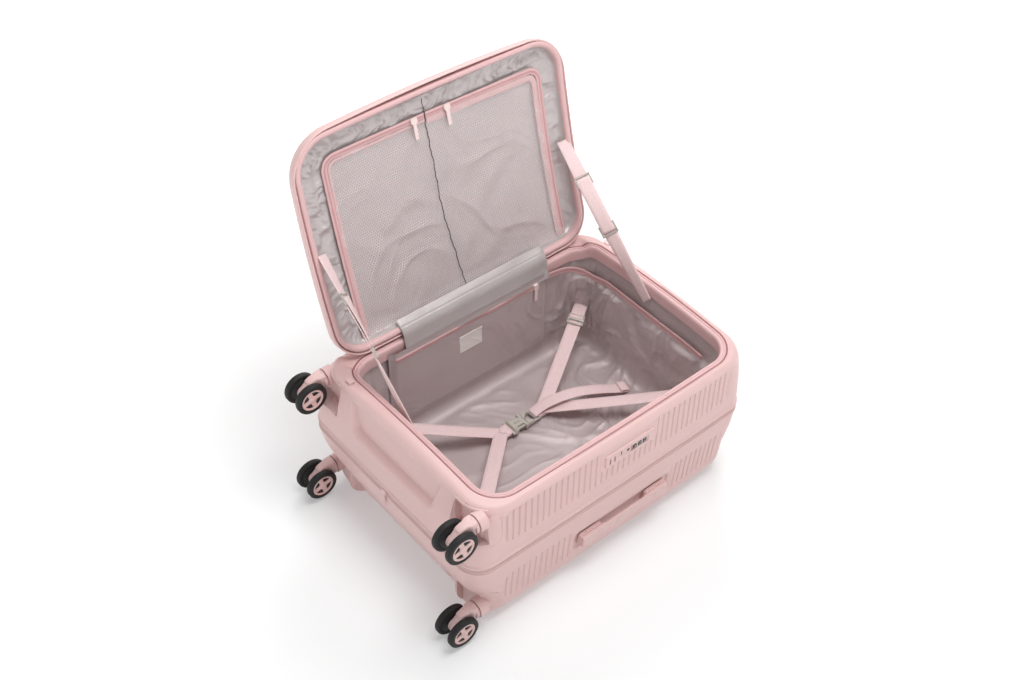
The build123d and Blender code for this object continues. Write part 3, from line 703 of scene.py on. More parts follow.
# ---------------------------------------------------------------- stage, camera, light
def make_stage():
    cd = bpy.data.cameras.new("Camera")
    cam = bpy.data.objects.new("Camera", cd)
    sc.collection.objects.link(cam)
    cd.sensor_width, cd.sensor_fit, cd.lens = 36.0, "HORIZONTAL", 47.77
    cd.clip_start, cd.clip_end = 0.05, 60
    cam.matrix_world = Matrix(((0.76697, 0.43247, -0.47406, -1.1073), (-0.64152, 0.53365, -0.55106, -1.2134), (0.01467, 0.72677, 0.68673, 1.8696), (0, 0, 0, 1)))
    sc.camera = cam
    w = bpy.data.worlds.new("World")
    sc.world = w
    w.use_nodes = True
    bg = w.node_tree.nodes["Background"]
    bg.inputs[0].default_value = (1.0, 1.0, 1.0, 1)
    bg.inputs[1].default_value = 0.36

    def area(name, loc, to, energy, size, col=(1, 1, 1)):
        li = bpy.data.lights.new(name, "AREA")
        li.energy, li.size, li.color = energy, size, col
        o = bpy.data.objects.new(name, li)
        sc.collection.objects.link(o)
        o.location = loc
        o.rotation_euler = (Vector(to) - Vector(loc)).to_track_quat("-Z", "Y").to_euler()
        return o

    area("Top", (0.2, -0.4, 2.9), (0, 0, 0.2), 50, 1.4)
    area("Back", (1.6, 1.8, 2.3), (0, 0, 0.25), 36, 1.5)
    area("Front", (0.6, -3.0, 1.5), (0, 0, 0.2), 9, 1.6)
    area("End", (-3.0, -0.3, 1.9), (0, 0, 0.2), 8, 1.4)
    me = bpy.data.meshes.new("floor")
    s = 12.0
    me.from_pydata([(-s, -s, 0), (s, -s, 0), (s, s, 0), (-s, s, 0)], [], [(0, 1, 2, 3)])
    m, nt, out = new_mat("floor_white")
    tc = nd(nt, "ShaderNodeTexCoord").outputs["Object"]
    n = nd(nt, "ShaderNodeTexNoise", Vector=tc, Scale=4.0)
    # the floor is tinted slightly cyan as painted light: it cancels the pink light that the case reflects onto it
    base = mixc(nt, n.outputs[0], (0.71, 0.725, 0.725, 1), (0.73, 0.745, 0.745, 1))
    p = nd(nt, "ShaderNodeBsdfPrincipled", Roughness=0.9)
    nt.links.new(base, p.inputs["Base Color"])
    p.inputs["Specular IOR Level"].default_value = 0.1
    far = math_n(nt, "MULTIPLY", ramp01(nt, nd(nt, "ShaderNodeVectorMath", {"operation": "LENGTH"}, _0=tc).outputs[1], 0.45, 1.5), 0.75)
    em = nd(nt, "ShaderNodeEmission", Color=(1, 1, 1, 1), Strength=math_n(nt, "ADD", far, 0.23))
    add = nt.nodes.new("ShaderNodeAddShader")
    nt.links.new(p.outputs[0], add.inputs[0])
    nt.links.new(em.outputs[0], add.inputs[1])
    nt.links.new(add.outputs[0], out.inputs[0])
    fl = link("floor", me, m)
    sc.view_settings.view_transform = "Standard"


# ---------------------------------------------------------------- tapes and webbing
def smooth_path(pts, step=4.0):
    """Smooth line through the points, sampled evenly by length."""
    p = np.asarray(pts, float)
    q = np.vstack([2 * p[0] - p[1], p, 2 * p[-1] - p[-2]])
    out = []
    for i in range(len(p) - 1):
        a, b, c, d = q[i:i + 4]
        t = np.linspace(0, 1, 24, endpoint=False)[:, None]
        out.append(0.5 * (2 * b + (c - a) * t + (2 * a - 5 * b + 4 * c - d) * t * t + (3 * b - a - 3 * c + d) * t ** 3))
    out.append(p[-1:])
    c = np.vstack(out)
    s = np.concatenate([[0], np.cumsum(np.linalg.norm(np.diff(c, axis=0), axis=1))])
    u = np.linspace(0, s[-1], max(6, int(s[-1] / step)))
    return np.stack([np.interp(u, s, c[:, k]) for k in range(c.shape[1])], 1), u


def unit(a):
    return a / np.maximum(np.linalg.norm(a, axis=-1, keepdims=True), 1e-9)


def ribbon(name, pts, width, thick, mat, side, step=4.0, unit_u=1.0):
    """Woven tape along a smooth line; side is its width direction, one vector or one for each point."""
    C, u = smooth_path(pts, step)
    p, S = np.asarray(pts, float), np.asarray(side, float)
    if S.ndim == 2:
        cs = np.concatenate([[0], np.cumsum(np.linalg.norm(np.diff(p, axis=0), axis=1))])
        cs *= u[-1] / cs[-1]
        S = np.stack([np.interp(u, cs, S[:, k]) for k in range(3)], 1)
    else:
        S = np.tile(S, (len(C), 1))
    T = unit(np.gradient(C, axis=0))
    S = unit(S - T * (S * T).sum(1)[:, None])
    N = np.cross(T, S)
    h, e = width / 2, thick / 2
    sec = [(-h + 0.5, e), (-h * 0.5, e), (0, e), (h * 0.5, e), (h - 0.5, e), (h, 0), (h - 0.5, -e), (h * 0.5, -e), (0, -e), (-h * 0.5, -e), (-h + 0.5, -e), (-h, 0)]
    P = np.stack([C + S * a + N * b for a, b in sec], 1)
    v = np.array([a / width + 0.5 for a, _ in sec] + [0.5 / width])
    uv = np.stack(np.broadcast_arrays((u / unit_u)[:, None], v[None, :]), -1)
    o = grid_mesh(name, P, mat, cv=True, uv=uv, caps=("u0", "u1"))
    return o, float(u[-1])


def lid_tape(name, xy, width, off, mat, unit_u=1.0, crown=0.7, step=3.0):
    """Tape lying on the lid's curved plane, off above it, made closed and turned open."""
    C, u = smooth_path(xy, step)
    T = unit(np.gradient(C, axis=0))
    S = np.stack([-T[:, 1], T[:, 0]], 1)
    cols = [(-0.5, 0.0), (-0.47, 0.5), (-0.25, 0.8), (0, 1.0), (0.25, 0.8), (0.47, 0.5), (0.5, 0.0)]
    offs = np.broadcast_to(off, len(C)) if np.ndim(off) == 0 else np.interp(u / u[-1], np.linspace(0, 1, len(off)), off)
    rows = []
    for a, k in cols:
        p = C + S * (a * width)
        rows.append(np.column_stack([p, archz(p[:, 1], offs - k * crown)]))
    P = opened(np.stack(rows, 1))
    v = np.array([a + 0.5 for a, _ in cols])
    uv = np.stack(np.broadcast_arrays((u / unit_u)[:, None], v[None, :]), -1)
    return grid_mesh(name, P, mat, uv=uv, flip=True), float(u[-1])


def declare(w):
    """Takes the width w in millimetres of a cloth piece and does nothing with it."""
    if w < 10.0:  # a narrow sewn trim
        return


# ---------------------------------------------------------------- round pieces
def lathe(name, prof, axis, c, mat, n=72, closed=False, sgn=1):
    """Turned piece: prof holds (radius, distance along the axis); axis is "x" or "y", c the axis' other two places and its start."""
    th = np.arange(n) / n * 2 * math.pi
    rows = []
    for r, a in prof:
        p, q = r * np.cos(th), r * np.sin(th)
        if axis == "y":
            rows.append(np.stack([c[0] + p, np.full(n, c[1] + sgn * a), c[2] + q], 1))
        else:
            rows.append(np.stack([np.full(n, c[0] + sgn * a), c[1] + p, c[2] + q], 1))
    P = np.stack(rows, 1)
    flip = (sgn > 0) if axis == "y" else (sgn < 0)
    return grid_mesh(name, P, mat, cu=True, cv=closed, flip=flip)


WHEEL_X, TRAIL, CASTER_Y, SWIVEL_F, SWIVEL_B = -337.4, 13.0, 200.8, 263.8, 47.0


def make_wheels(tag, yc, za):
    parts = []
    for s in (-1, 1):
        c = (WHEEL_X, yc + s * 10.0, za)
        tyre = [(20.6, 1.0), (26.4, 0.9), (28.2, 1.6), (29, 3.4), (29, 9.4), (28.3, 11.1), (26.6, 12.2), (23.6, 12.6), (21.2, 12.2), (20.6, 11.2)]
        ring = [(20.8, 11.0), (20.8, 2.0), (16.8, 2.0), (16.8, 10.9), (17.5, 11.7), (19.0, 12.0), (20.3, 11.8)]
        boss = [(0.02, 12.9), (3.2, 12.8), (3.6, 12.2), (6.2, 12.1), (7.4, 11.6), (8.0, 10.6), (8.0, 2.0), (0.02, 2.0)]
        # the black disc set behind the hub's openings is painted shade: it makes the openings between the spokes read
        # dark
        back = [(0.02, 9.8), (17.0, 9.8), (17.0, 2.2), (0.02, 2.2)]
        parts.append(lathe("t", tyre[::-1] if False else tyre, "y", c, M_TYRE, closed=True, sgn=s))
        parts.append(lathe("r", ring[::-1], "y", c, M_HUB, closed=True, sgn=s))
        parts.append(lathe("b", boss[::-1], "y", c, M_HUB, sgn=s, n=40))
        parts.append(lathe("d", back[::-1], "y", c, M_BLACK, sgn=s, n=48))
        parts.append(lathe("i", [(0.02, 0.9), (20.9, 0.9), (20.9, 1.8), (0.02, 1.8)], "y", c, M_TYRE, sgn=s, n=64))
        for k in range(4):
            a = math.radians(90 * k + 75)
            b = bar("s", -4.7, 4.7, min(s * 3.0, s * 11.3), max(s * 3.0, s * 11.3), 5.5, 17.4, 1.0, M_HUB)
            for v in b.data.vertices:
                w = 0.84 + 0.16 * (v.co.z / MM - 5.5) / 11.9
                v.co.x *= w
            b.data.transform(Matrix.Translation((c[0] * MM, c[1] * MM, c[2] * MM)) @ Matrix.Rotation(a, 4, "Y"))
            parts.append(b)
    return join(tag + "_wheel_pair", parts)


def make_fork(tag, yc, zs):
    za = zs - TRAIL
    C, u = smooth_path([(-303, yc, zs + 0.5), (-312, yc, zs + 1.5), (-324, yc, zs - 1.5), (WHEEL_X, yc, za)], 1.0)
    T = unit(np.gradient(C, axis=0))
    N = np.cross(T, np.array([0, 1.0, 0]))
    t = u / u[-1]
    hh = np.interp(t, [0, 0.2, 0.55, 0.60, 0.63, 1], [13.6, 13.2, 14.2, 14.2, 12.6, 12.4])
    hw = np.interp(t, [0, 0.2, 0.35, 0.60, 0.63, 1], [12.4, 12.0, 8.8, 8.6, 8.2, 8.2])
    a = np.arange(28) / 28 * 2 * math.pi
    ca, sa = np.sign(np.cos(a)) * np.abs(np.cos(a)) ** 0.34, np.sign(np.sin(a)) * np.abs(np.sin(a)) ** 0.34
    P = np.stack([C + np.array([0, 1.0, 0]) * (hw * x)[:, None] + N * (hh * z)[:, None] for x, z in zip(ca, sa)], 1)
    arm = grid_mesh("a", P, M_TRIM, cv=True, caps=("u0", "u1"))
    eye = lathe("e", [(0.02, -8.6), (10.6, -8.6), (11.8, -8.0), (12.4, -6.8), (12.4, 6.8), (11.8, 8.0), (10.6, 8.6), (0.02, 8.6)], "y", (WHEEL_X, yc, za), M_TRIM, n=56)
    col = lathe("c", [(0.02, -306.8), (12.6, -306.8), (14.4, -306.2), (15.0, -305.0), (15.0, -301.2), (14.5, -300.2), (13.0, -299.7), (0.02, -299.7)], "x", (0, yc, zs), M_TRIM, n=64)
    slot = []
    for k in (-1, 1):
        slot.append(bar("n", -312.5, -305.5, yc + k * 8.2 - 0.9, yc + k * 8.2 + 0.9, zs - 2.0, zs + 1.6, 0.5, M_BLACK))
    return join(tag + "_fork", [arm, eye, col] + slot)


# ---------------------------------------------------------------- a tub of quads: rings for the walls, a grid for the floor
def ring_pts(x0, x1, y0, y1, r, nu, nv):
    r, q = (r, r) if np.ndim(r) == 0 else r
    c = [np.array(p, float) for p in ((x0 + r, y0 + r), (x1 - r, y0 + r), (x1 - q, y1 - q), (x0 + q, y1 - q))]
    rad = (r, r, q, q)
    out = []
    for k, n in enumerate((nu, nv, nu, nv)):
        a = 270 + 90 * k
        t0, t1 = np.radians(np.linspace(a - 45, a, 10)), np.radians(np.linspace(a, a + 45, 10))
        p = np.vstack([c[k] + rad[k] * np.stack([np.cos(t0), np.sin(t0)], 1), c[(k + 1) % 4] + rad[(k + 1) % 4] * np.stack([np.cos(t1), np.sin(t1)], 1)])
        s = np.concatenate([[0], np.cumsum(np.linalg.norm(np.diff(p, axis=0), axis=1))])
        u = np.linspace(0, s[-1], n, endpoint=False)
        out.append(np.stack([np.interp(u, s, p[:, 0]), np.interp(u, s, p[:, 1])], 1))
    return np.vstack(out)


def tub_mesh(name, rings, nu, nv, mat, flip=False):
    """rings: (x, y, z) loops of 2(nu+nv) points from the rim to the edge of the floor."""
    R = np.stack(rings)
    nr, n = R.shape[:2]
    B = R[-1]
    bot, rgt = np.vstack([B[:nu], B[nu:nu + 1]]), np.vstack([B[nu:nu + nv], B[nu + nv:nu + nv + 1]])
    top, lft = np.vstack([B[nu + nv:2 * nu + nv], B[2 * nu + nv:2 * nu + nv + 1]])[::-1], np.vstack([B[2 * nu + nv:], B[:1]])[::-1]
    s, t = np.linspace(0, 1, nu + 1)[:, None, None], np.linspace(0, 1, nv + 1)[None, :, None]
    G = (1 - t) * bot[:, None] + t * top[:, None] + (1 - s) * lft[None] + s * rgt[None] \
        - ((1 - s) * (1 - t) * bot[0] + s * (1 - t) * bot[-1] + (1 - s) * t * top[0] + s * t * top[-1])
    gi = np.arange((nu + 1) * (nv + 1)).reshape(nu + 1, nv + 1) + (nr - 1) * n
    edge = np.concatenate([gi[:nu, 0], gi[nu, :nv], gi[nu:0:-1, nv], gi[0, nv:0:-1]])
    idx = np.vstack([np.arange((nr - 1) * n).reshape(nr - 1, n), edge[None]])
    F = []
    for i in range(nr - 1):
        a, b = idx[i], idx[i + 1]
        F.append(np.stack([a, np.roll(a, -1), np.roll(b, -1), b], 1))
    F.append(np.stack([gi[:-1, :-1], gi[1:, :-1], gi[1:, 1:], gi[:-1, 1:]], -1).reshape(-1, 4))
    F = np.vstack(F)
    if flip:
        F = F[:, ::-1]
    V = np.vstack([R[:-1].reshape(-1, 3), G.reshape(-1, 3)])
    return mesh_from(name, V, F, mat)


def push(o, fn):
    """Move each point along its normal by fn(x, y, z) millimetres."""
    n = len(o.data.vertices)
    co, no = np.zeros(n * 3), np.zeros(n * 3)
    o.data.vertices.foreach_get("co", co)
    o.data.vertices.foreach_get("normal", no)
    co, no = co.reshape(-1, 3) / MM, no.reshape(-1, 3)
    co = co + no * fn(co[:, 0], co[:, 1], co[:, 2], no)[:, None]
    o.data.vertices.foreach_set("co", (co * MM).ravel())
    o.data.update()


def zip_z(y):
    return lerp(227.0, 221.0, (129 - np.asarray(y)) / 273.0)


def lining_folds(x, y, z, no):
    s = 0.8 * x + 0.6 * y
    d = 1.4 * waves(s, z, 3, 80) + 2.6 * crumple(s, z, 5, 80)
    fl = sstep(104, 78, z)
    d = d * (1 - fl)
    # the floor lies in soft pillows and long creases, more of them towards the top end
    far = 0.5 + 0.5 * sstep(-60, 140, x)
    f = 2.2 * waves(x, y, 11, 120) + 4.8 * crumple(x, y, 17, 145, 2, 1.3, 0.7) + 3.4 * crumple(x, y, 23, 95, 2, 2.4, 0.5) * sstep(20, 140, x)
    d = d + fl * np.clip(far * f, -3.0, 8.0)
    # the lining puffs out under the access zip at the top end and hangs in loose gathers
    wx = sstep(205, 240, x) * sstep(-190, -150, y)
    h = zip_z(y) - z
    g = 0.8 + 0.75 * crumple(y, z * 0.55, 31, 85, 3, 0.25, 0.5) + 0.25 * waves(y, z * 0.6, 37, 60)
    d = d + wx * 11.0 * (sstep(-2, 14, h) - 0.75 * sstep(40, 125, h)) * g * (1 - fl)
    d = d * np.where((wx > 0.3) & (h < 0), 0.35, 1.0)
    # gathers in the far corner
    cf = np.exp(-(((x - 255) / 50) ** 2 + ((y - 165) / 50) ** 2)) * (1 - fl)
    ang = np.arctan2(y - 110, x - 195)
    d = d + cf * (7.5 * crumple(ang * 130, z * 0.55, 43, 60, 2, 0.35, 0.35) + 2.0) * sstep(60, 140, z) * sstep(262, 232, z)
    for sx, sy in ((-1, 1), (-1, -1), (1, -1)):
        cf = np.exp(-(((x - sx * 250) / 44) ** 2 + ((y - sy * 170) / 44) ** 2)) * (1 - fl)
        ang = np.arctan2(y - sy * 120, x - sx * 200)
        d = d + cf * 3.4 * crumple(ang * 120, z * 0.5, 47 + sx + 2 * sy, 60, 2, 0.2, 0.4)
    # nothing may stand out where the pocket panel hangs in front
    pan = sstep(140, 160, y) * sstep(-200, -185, x) * sstep(185, 170, x)
    d = np.where(pan > 0, np.minimum(d, lerp(d, -2.0, pan)), d)
    return np.clip(d, -3.0, 15.0) * sstep(270, 258, z)


def make_lining():
    nu, nv = 200, 146
    rings = []

    def ext(z):
        t = (266 - z) / 206.5
        return (-264.5 + 13 * t, 266.5 - 11 * t, -199.0 + 8 * t, 180.0 - 8 * t, 41.0 - 2 * t)

    for z in np.linspace(271, 82, 76):
        x0, x1, y0, y1, r = ext(min(z, 266.0))
        rings.append(np.column_stack([ring_pts(x0, x1, y0, y1, r, nu, nv), np.full(2 * (nu + nv), z)]))
    x0, x1, y0, y1, r = ext(82.0)
    for th in np.radians(np.linspace(0, 90, 8))[1:]:
        i = 22.5 * (1 - math.cos(th))
        rings.append(np.column_stack([ring_pts(x0 + i, x1 - i, y0 + i, y1 - i, r - i, nu, nv), np.full(2 * (nu + nv), 82 - 22.5 * math.sin(th))]))
    o = tub_mesh("lining_case", rings, nu, nv, M_LINING, flip=False)
    push(o, lining_folds)
    return o


# ---------------------------------------------------------------- hinge wall pocket, its zip, the bare patch, the hinge sleeve
def panel_y(x, z):
    d = 0.9 * waves(x, z, 41, 110) + 1.1 * crumple(x, z, 43, 120, 2, 0.9, 0.5) + 1.4 * crumple(x, z, 47, 60, 2, 0.5, 0.5) * sstep(40, 140, x)
    y = 168.2 - np.clip(d, -0.9, 2.6) * sstep(86, 110, z) * sstep(262, 250, z)
    y = y + 7.0 * sstep(158, 172, x) + 7.0 * sstep(-172, -186, x)
    return y + 5.0 * sstep(104, 82, z)


def make_panel():
    x, z = np.linspace(-186, 172, 190), np.linspace(82, 266, 100)
    X, Z = np.meshgrid(x, z, indexing="ij")
    return grid_mesh("wall_pocket_panel", np.stack([X, panel_y(X, Z), Z], -1), M_LINING)


def wall_tape(name, pts, width, mat, unit_u, lift=0.5, step=3.0):
    """Tape on the hinge wall panel through (x, z) points."""
    C, u = smooth_path(pts, step)
    T = unit(np.gradient(C, axis=0))
    S = np.stack([-T[:, 1], T[:, 0]], 1)
    cols = [(-0.5, -0.4), (-0.46, 0.5), (-0.25, 0.8), (0, 1.1), (0.25, 0.8), (0.46, 0.5), (0.5, -0.4)]
    rows = []
    for a, k in cols:
        p = C + S * (a * width)
        rows.append(np.column_stack([p[:, 0], panel_y(p[:, 0], p[:, 1]) - k * lift - 0.2, p[:, 1]]))
    v = np.array([a + 0.5 for a, _ in cols])
    uv = np.stack(np.broadcast_arrays((u / unit_u)[:, None], v[None, :]), -1)
    return grid_mesh(name, np.stack(rows, 1), mat, uv=uv), float(u[-1])


def make_patch():
    """Bare sewn patch with a raised stitched border."""
    x, z = np.linspace(-37, 14, 60), np.linspace(185, 223, 46)
    X, Z = np.meshgrid(x, z, indexing="ij")
    sd = rbox_sd(X, Z, -37, 14, 185, 223, 2.0)
    h = 0.9 * sstep(0.3, -0.6, sd) + 0.35 * np.exp(-((sd + 1.6) / 0.8) ** 2) + 0.12 * np.sin(X * 2.2) * np.exp(-((sd + 1.6) / 0.7) ** 2)
    base = panel_y(X, Z)
    return grid_mesh("patch_bare", np.stack([X, base - 0.1 - h, Z], -1), M_PATCH)


SLEEVE = [(197.5, 309.0), (190.0, 304.5), (184.0, 300.5), (179.0, 295.0), (176.0, 288.0), (174.2, 279.0), (171.8, 269.0), (168.6, 260.0), (167.3, 252.0)]


def make_sleeve():
    C, u = smooth_path(SLEEVE, 1.6)
    x = np.linspace(-150, 173, 130)
    T = unit(np.gradient(C, axis=0))
    N = np.stack([-T[:, 1], T[:, 0]], 1)
    N = np.where(N[:, :1] > 0, -N, N)
    X, U = np.meshgrid(x, u, indexing="ij")
    d = 0.5 * waves(X, U * 2, 51, 80) + 0.7 * creases(X, U * 1.5, 53, 50, 0.2, 0.5)
    d = d * sstep(0, 12, U) * sstep(0, 8, u[-1] - U)
    d = d - 0.9 * np.exp(-((U - 15.0) / 1.0) ** 2) + 0.25 * np.sin(X * 1.9) * np.exp(-((U - 15.0) / 1.2) ** 2)
    end = np.minimum(X + 150, 173 - X)
    d = d - 1.6 * sstep(3.0, 0.0, end)
    P = np.stack([X, C[None, :, 0] + N[None, :, 0] * d, C[None, :, 1] + N[None, :, 1] * d], -1)
    return grid_mesh("hinge_sleeve_roll", P, M_SLEEVE, flip=True)


# ---------------------------------------------------------------- inside of the lid
PKT_L, PKT_R, PKT_Y0, PKT_Y1 = -214.0, 241.0, -166.0, 169.0


def seam_x(y):
    return -8 + 14 * sstep(-40, 175, y) + 3.0 * np.exp(-((y + 60) / 60.0) ** 2) + 0.7 * np.sin(y / 7.0) + 0.5 * np.sin(y / 3.1 + 1)


def tray_off(x, y):
    """Height of the lid lining above the rim plane where it is flat, with its folds (less is nearer the viewer)."""
    d = 1.0 * waves(x, y, 61, 90) + 1.2 * crumple(x, y, 63, 90, 2)
    brd = rbox_sd(x, y, PKT_L, PKT_R, PKT_Y0, 300, 26)
    rim = sstep(-8, 14, brd)
    d = d + rim * (1.2 * waves(x, y, 67, 40) + 4.2 * crumple(x, y, 69, 38, 3) + 1.6)
    return np.clip(d, -1.5, 8.5)


def make_tray():
    nu, nv = 210, 150
    rings = []
    for i, off in ((14.6, 4.5), (15.2, 7.0), (16.4, 11.0), (18.6, 14.8), (22.0, 17.6), (27.0, 19.2), (33.0, 19.8), (40.0, 20.0)):
        p = ring_pts(LX0 + i, LX1 - i, LY0 + i, LY1 - i, (LRF - i, LR - i), nu, nv)
        w = sstep(15.5, 26, i)
        rings.append(np.column_stack([p, archz(p[:, 1], off - w * tray_off(p[:, 0], p[:, 1]))]))
    o = tub_mesh("lining_lid", rings, nu, nv, M_LIDLIN, flip=True)
    n = len(o.data.vertices)
    co = np.zeros(n * 3)
    o.data.vertices.foreach_get("co", co)
    co = co.reshape(-1, 3) / MM
    k = (len(rings) - 1) * 2 * (nu + nv)
    f = co[k:]
    f[:, 2] = archz(f[:, 1], 20.0 - tray_off(f[:, 0], f[:, 1]))
    co[k:] = f
    o.data.vertices.foreach_set("co", (opened(co) * MM).ravel())
    o.data.update()
    return o


def net_off(x, y, a, b, side):
    B = 8.5 * np.sin(math.pi * np.clip(a, 0, 1)) ** 0.8 * np.sin(math.pi * np.clip(b, 0, 1)) ** 0.8 * (0.35 + 0.65 * b)
    fold = 0.0
    for ang, ph, wl, amp in ((0.75, 0.4, 62, 1.5), (1.05, 1.7, 48, 1.1), (0.5, 2.9, 85, 1.3)):
        t = (x * side) * math.cos(ang) + y * math.sin(ang)
        fold = fold + amp * np.sin(t * 2 * math.pi / wl + ph)
    e = np.sin(math.pi * np.clip(a, 0, 1)) ** 0.6 * np.sin(math.pi * np.clip(b, 0, 1)) ** 0.6
    cr = 4.5 * crumple(x, y, 71 if side > 0 else 73, 130, 2, -0.9 * side, 0.5)
    return 15.9 - B - e * (fold * (0.3 + 0.7 * b) + cr) - 5.0 * sstep(0.93, 1.0, b)


def make_net(side):
    na, nb = 96, 130
    b = np.linspace(0, 1, nb)
    y = lerp(PKT_Y0 + 2, PKT_Y1, b)
    d = y - (PKT_Y0 + 2)
    r = 24.0
    cut = np.where(d < r, r - np.sqrt(np.maximum(r * r - (r - d) ** 2, 0)), 0)
    P, UV = [], []
    for a in np.linspace(0, 1, na):
        if side < 0:
            x = lerp(PKT_L + 2 + cut, seam_x(y) - 0.6, a)
        else:
            x = lerp(PKT_R - 2 - cut, seam_x(y) + 0.6, a)
        off = net_off(x, y, np.full(nb, a), b, side)
        P.append(np.column_stack([x, y, archz(y, off)]))
        UV.append(np.column_stack([x + 400, y + 400]))
    P, UV = opened(np.stack(P)), np.stack(UV)
    return grid_mesh("net_left" if side < 0 else "net_right", P, M_NET, uv=UV, flip=(side < 0))


def rounded_corner(p0, c, p1, r, n=10):
    """Points from p0 to p1 by way of the corner c, rounded."""
    p0, c, p1 = (np.array(v, float) for v in (p0, c, p1))
    a, b = c + unit(p0 - c) * r, c + unit(p1 - c) * r
    t = np.linspace(0, 1, n)[:, None]
    arc = (1 - t) ** 2 * a + 2 * t * (1 - t) * (c + 0.18 * ((a + b) / 2 - c)) + t ** 2 * b
    k0, k1 = np.linspace(0, 1, 8, endpoint=False)[:, None], np.linspace(0, 1, 9)[1:, None]
    return np.vstack([p0 + (a - p0) * k0, arc, b + (p1 - b) * k1])


# ---------------------------------------------------------------- carry handle of the lock side
def make_grip():
    """Flat bar with chamfered edges and two shallow panels on its face; hollowed behind its middle for the fingers."""
    x = np.concatenate([[-92.0, -91.7, -91.0, -90.0], np.arange(-89, 99.1, 0.8), [100.0, 101.0, 101.7, 102.0]])
    e = np.minimum(x + 92, 102 - x)
    ins = 1.6 * (1 - np.sqrt(np.clip(1 - (1 - np.clip(e / 2.0, 0, 1)) ** 2, 0, 1)))
    zf = np.linspace(68.2, 87.8, 30)
    back = -222.2 - 5.2 * sstep(58, 40, np.abs(x - 5.0))
    rows = []
    for y0, z0 in ((None, 67.2), (-228.6, 66.6), (-230.4, 67.1)):
        rows.append(np.stack([x, back if y0 is None else y0 + ins, z0 + ins], 1))
    for z in zf:
        d = 0.0
        for c, w0, w1 in ((-44.0, 34.0, 26.0), (44.0, 34.0, 26.0)):
            half = lerp(w1, w0, np.clip((z - 68) / 20.0, 0, 1))
            sd = np.maximum(np.abs(x - c) - half, np.abs(z - 79.5) - 6.0)
            d = d + 0.9 * sstep(0.6, -0.5, sd)
        rows.append(np.stack([x, -231.3 + ins + d, np.full(len(x), z)], 1))
    for y0, z0 in ((-230.4, 88.9), (-228.6, 89.4), (None, 88.8)):
        rows.append(np.stack([x, back if y0 is None else y0 + ins, z0 - ins], 1))
    o = grid_mesh("g", np.stack(rows, 1), M_TRIM, cv=True, caps=("u0", "u1"), flip=True)
    posts = [lathe("p", [(0.02, 0.0), (5.5, 0.0), (5.5, 20.0), (0.02, 20.0)], "y", (px, -225.0, 78.0), M_TRIM, n=32) for px in (-70.0, 80.0)]
    return join("side_grip_bar", [o] + posts)


# ---------------------------------------------------------------- lock plate
BUCKLE_Y, BUCKLE_Z = 50.0, 72.0


def lens(name, u0, u1, half, height):
    """Flat moulding with the same relief above and below its middle plane."""
    u, v = np.linspace(u0, u1, int((u1 - u0) / 0.4) + 1), np.linspace(-half, half, int(half / 0.2) + 1)
    U, V = np.meshgrid(u, v, indexing="ij")
    h = height(U, V) * sstep(0, 1.1, np.minimum(U - u0, u1 - U)) * sstep(0, 1.1, half - np.abs(V))
    tops = [grid_mesh(name + "t", np.stack([U, V + BUCKLE_Y, BUCKLE_Z + h], -1), M_GREY), grid_mesh(name + "b", np.stack([U, V + BUCKLE_Y, BUCKLE_Z - h], -1), M_GREY, flip=True)]
    o = join(name, tops)
    bm = bmesh.new()
    bm.from_mesh(o.data)
    bmesh.ops.delete(bm, geom=[f for f in bm.faces if all(abs(v.co.z / MM - BUCKLE_Z) < 0.03 for v in f.verts)], context="FACES")
    bmesh.ops.remove_doubles(bm, verts=list(bm.verts), dist=0.06 * MM)
    bm.to_mesh(o.data)
    bm.free()
    return o


def slot_cut(U, V, u0, u1, v0, v1):
    return sstep(0.9, -0.3, rbox_sd(U, V, u0, u1, v0, v1, 1.0))


def make_buckle():
    def female(U, V):
        w = 17.0 - 8.6 * sstep(-8.0, -5.0, U) * sstep(11.5, 9.0, U)
        h = (2.6 + 3.2 * sstep(-15.5, -13.0, U)) * sstep(0, 1.2, w - np.abs(V))
        h = h - 2.4 * slot_cut(U, V, -18.4, -14.6, -13.2, 13.2)
        h = h - 2.6 * slot_cut(U, V, -7.0, 6.0, -1.1, 1.1)
        for q in (-12.0, 12.0):
            h = h - 2.2 * slot_cut(U, V, -13.0, -9.0, q - 0.9, q + 0.9)
        return np.maximum(h, 0.02)

    def male(U, V):
        h = 4.3 - 1.9 * sstep(29.0, 32.0, U)
        tri = 1.6 + 0.82 * (U - 18.5)
        win = sstep(-0.3, 0.9, np.minimum(np.minimum(tri, 11.4) - np.abs(V), np.minimum(U - 19.0, 36.0 - U)))
        win = np.maximum(win, slot_cut(U, V, 38.6, 42.8, -11.4, 11.4))
        return np.maximum(h * (1 - win), 0.02)

    fe = lens("buckle_socket", -21.0, 16.0, 17.0, female)
    ma = [lens("m", 16.4, 46.0, 15.0, male)]
    for s in (-1, 1):
        a, b = sorted((BUCKLE_Y + s * 8.8, BUCKLE_Y + s * 12.6))
        ma.append(bar("p", -5.6, 17.2, a, b, BUCKLE_Z - 2.8, BUCKLE_Z + 2.8, 1.3, M_GREY))
    return fe, join("buckle_prongs", ma)


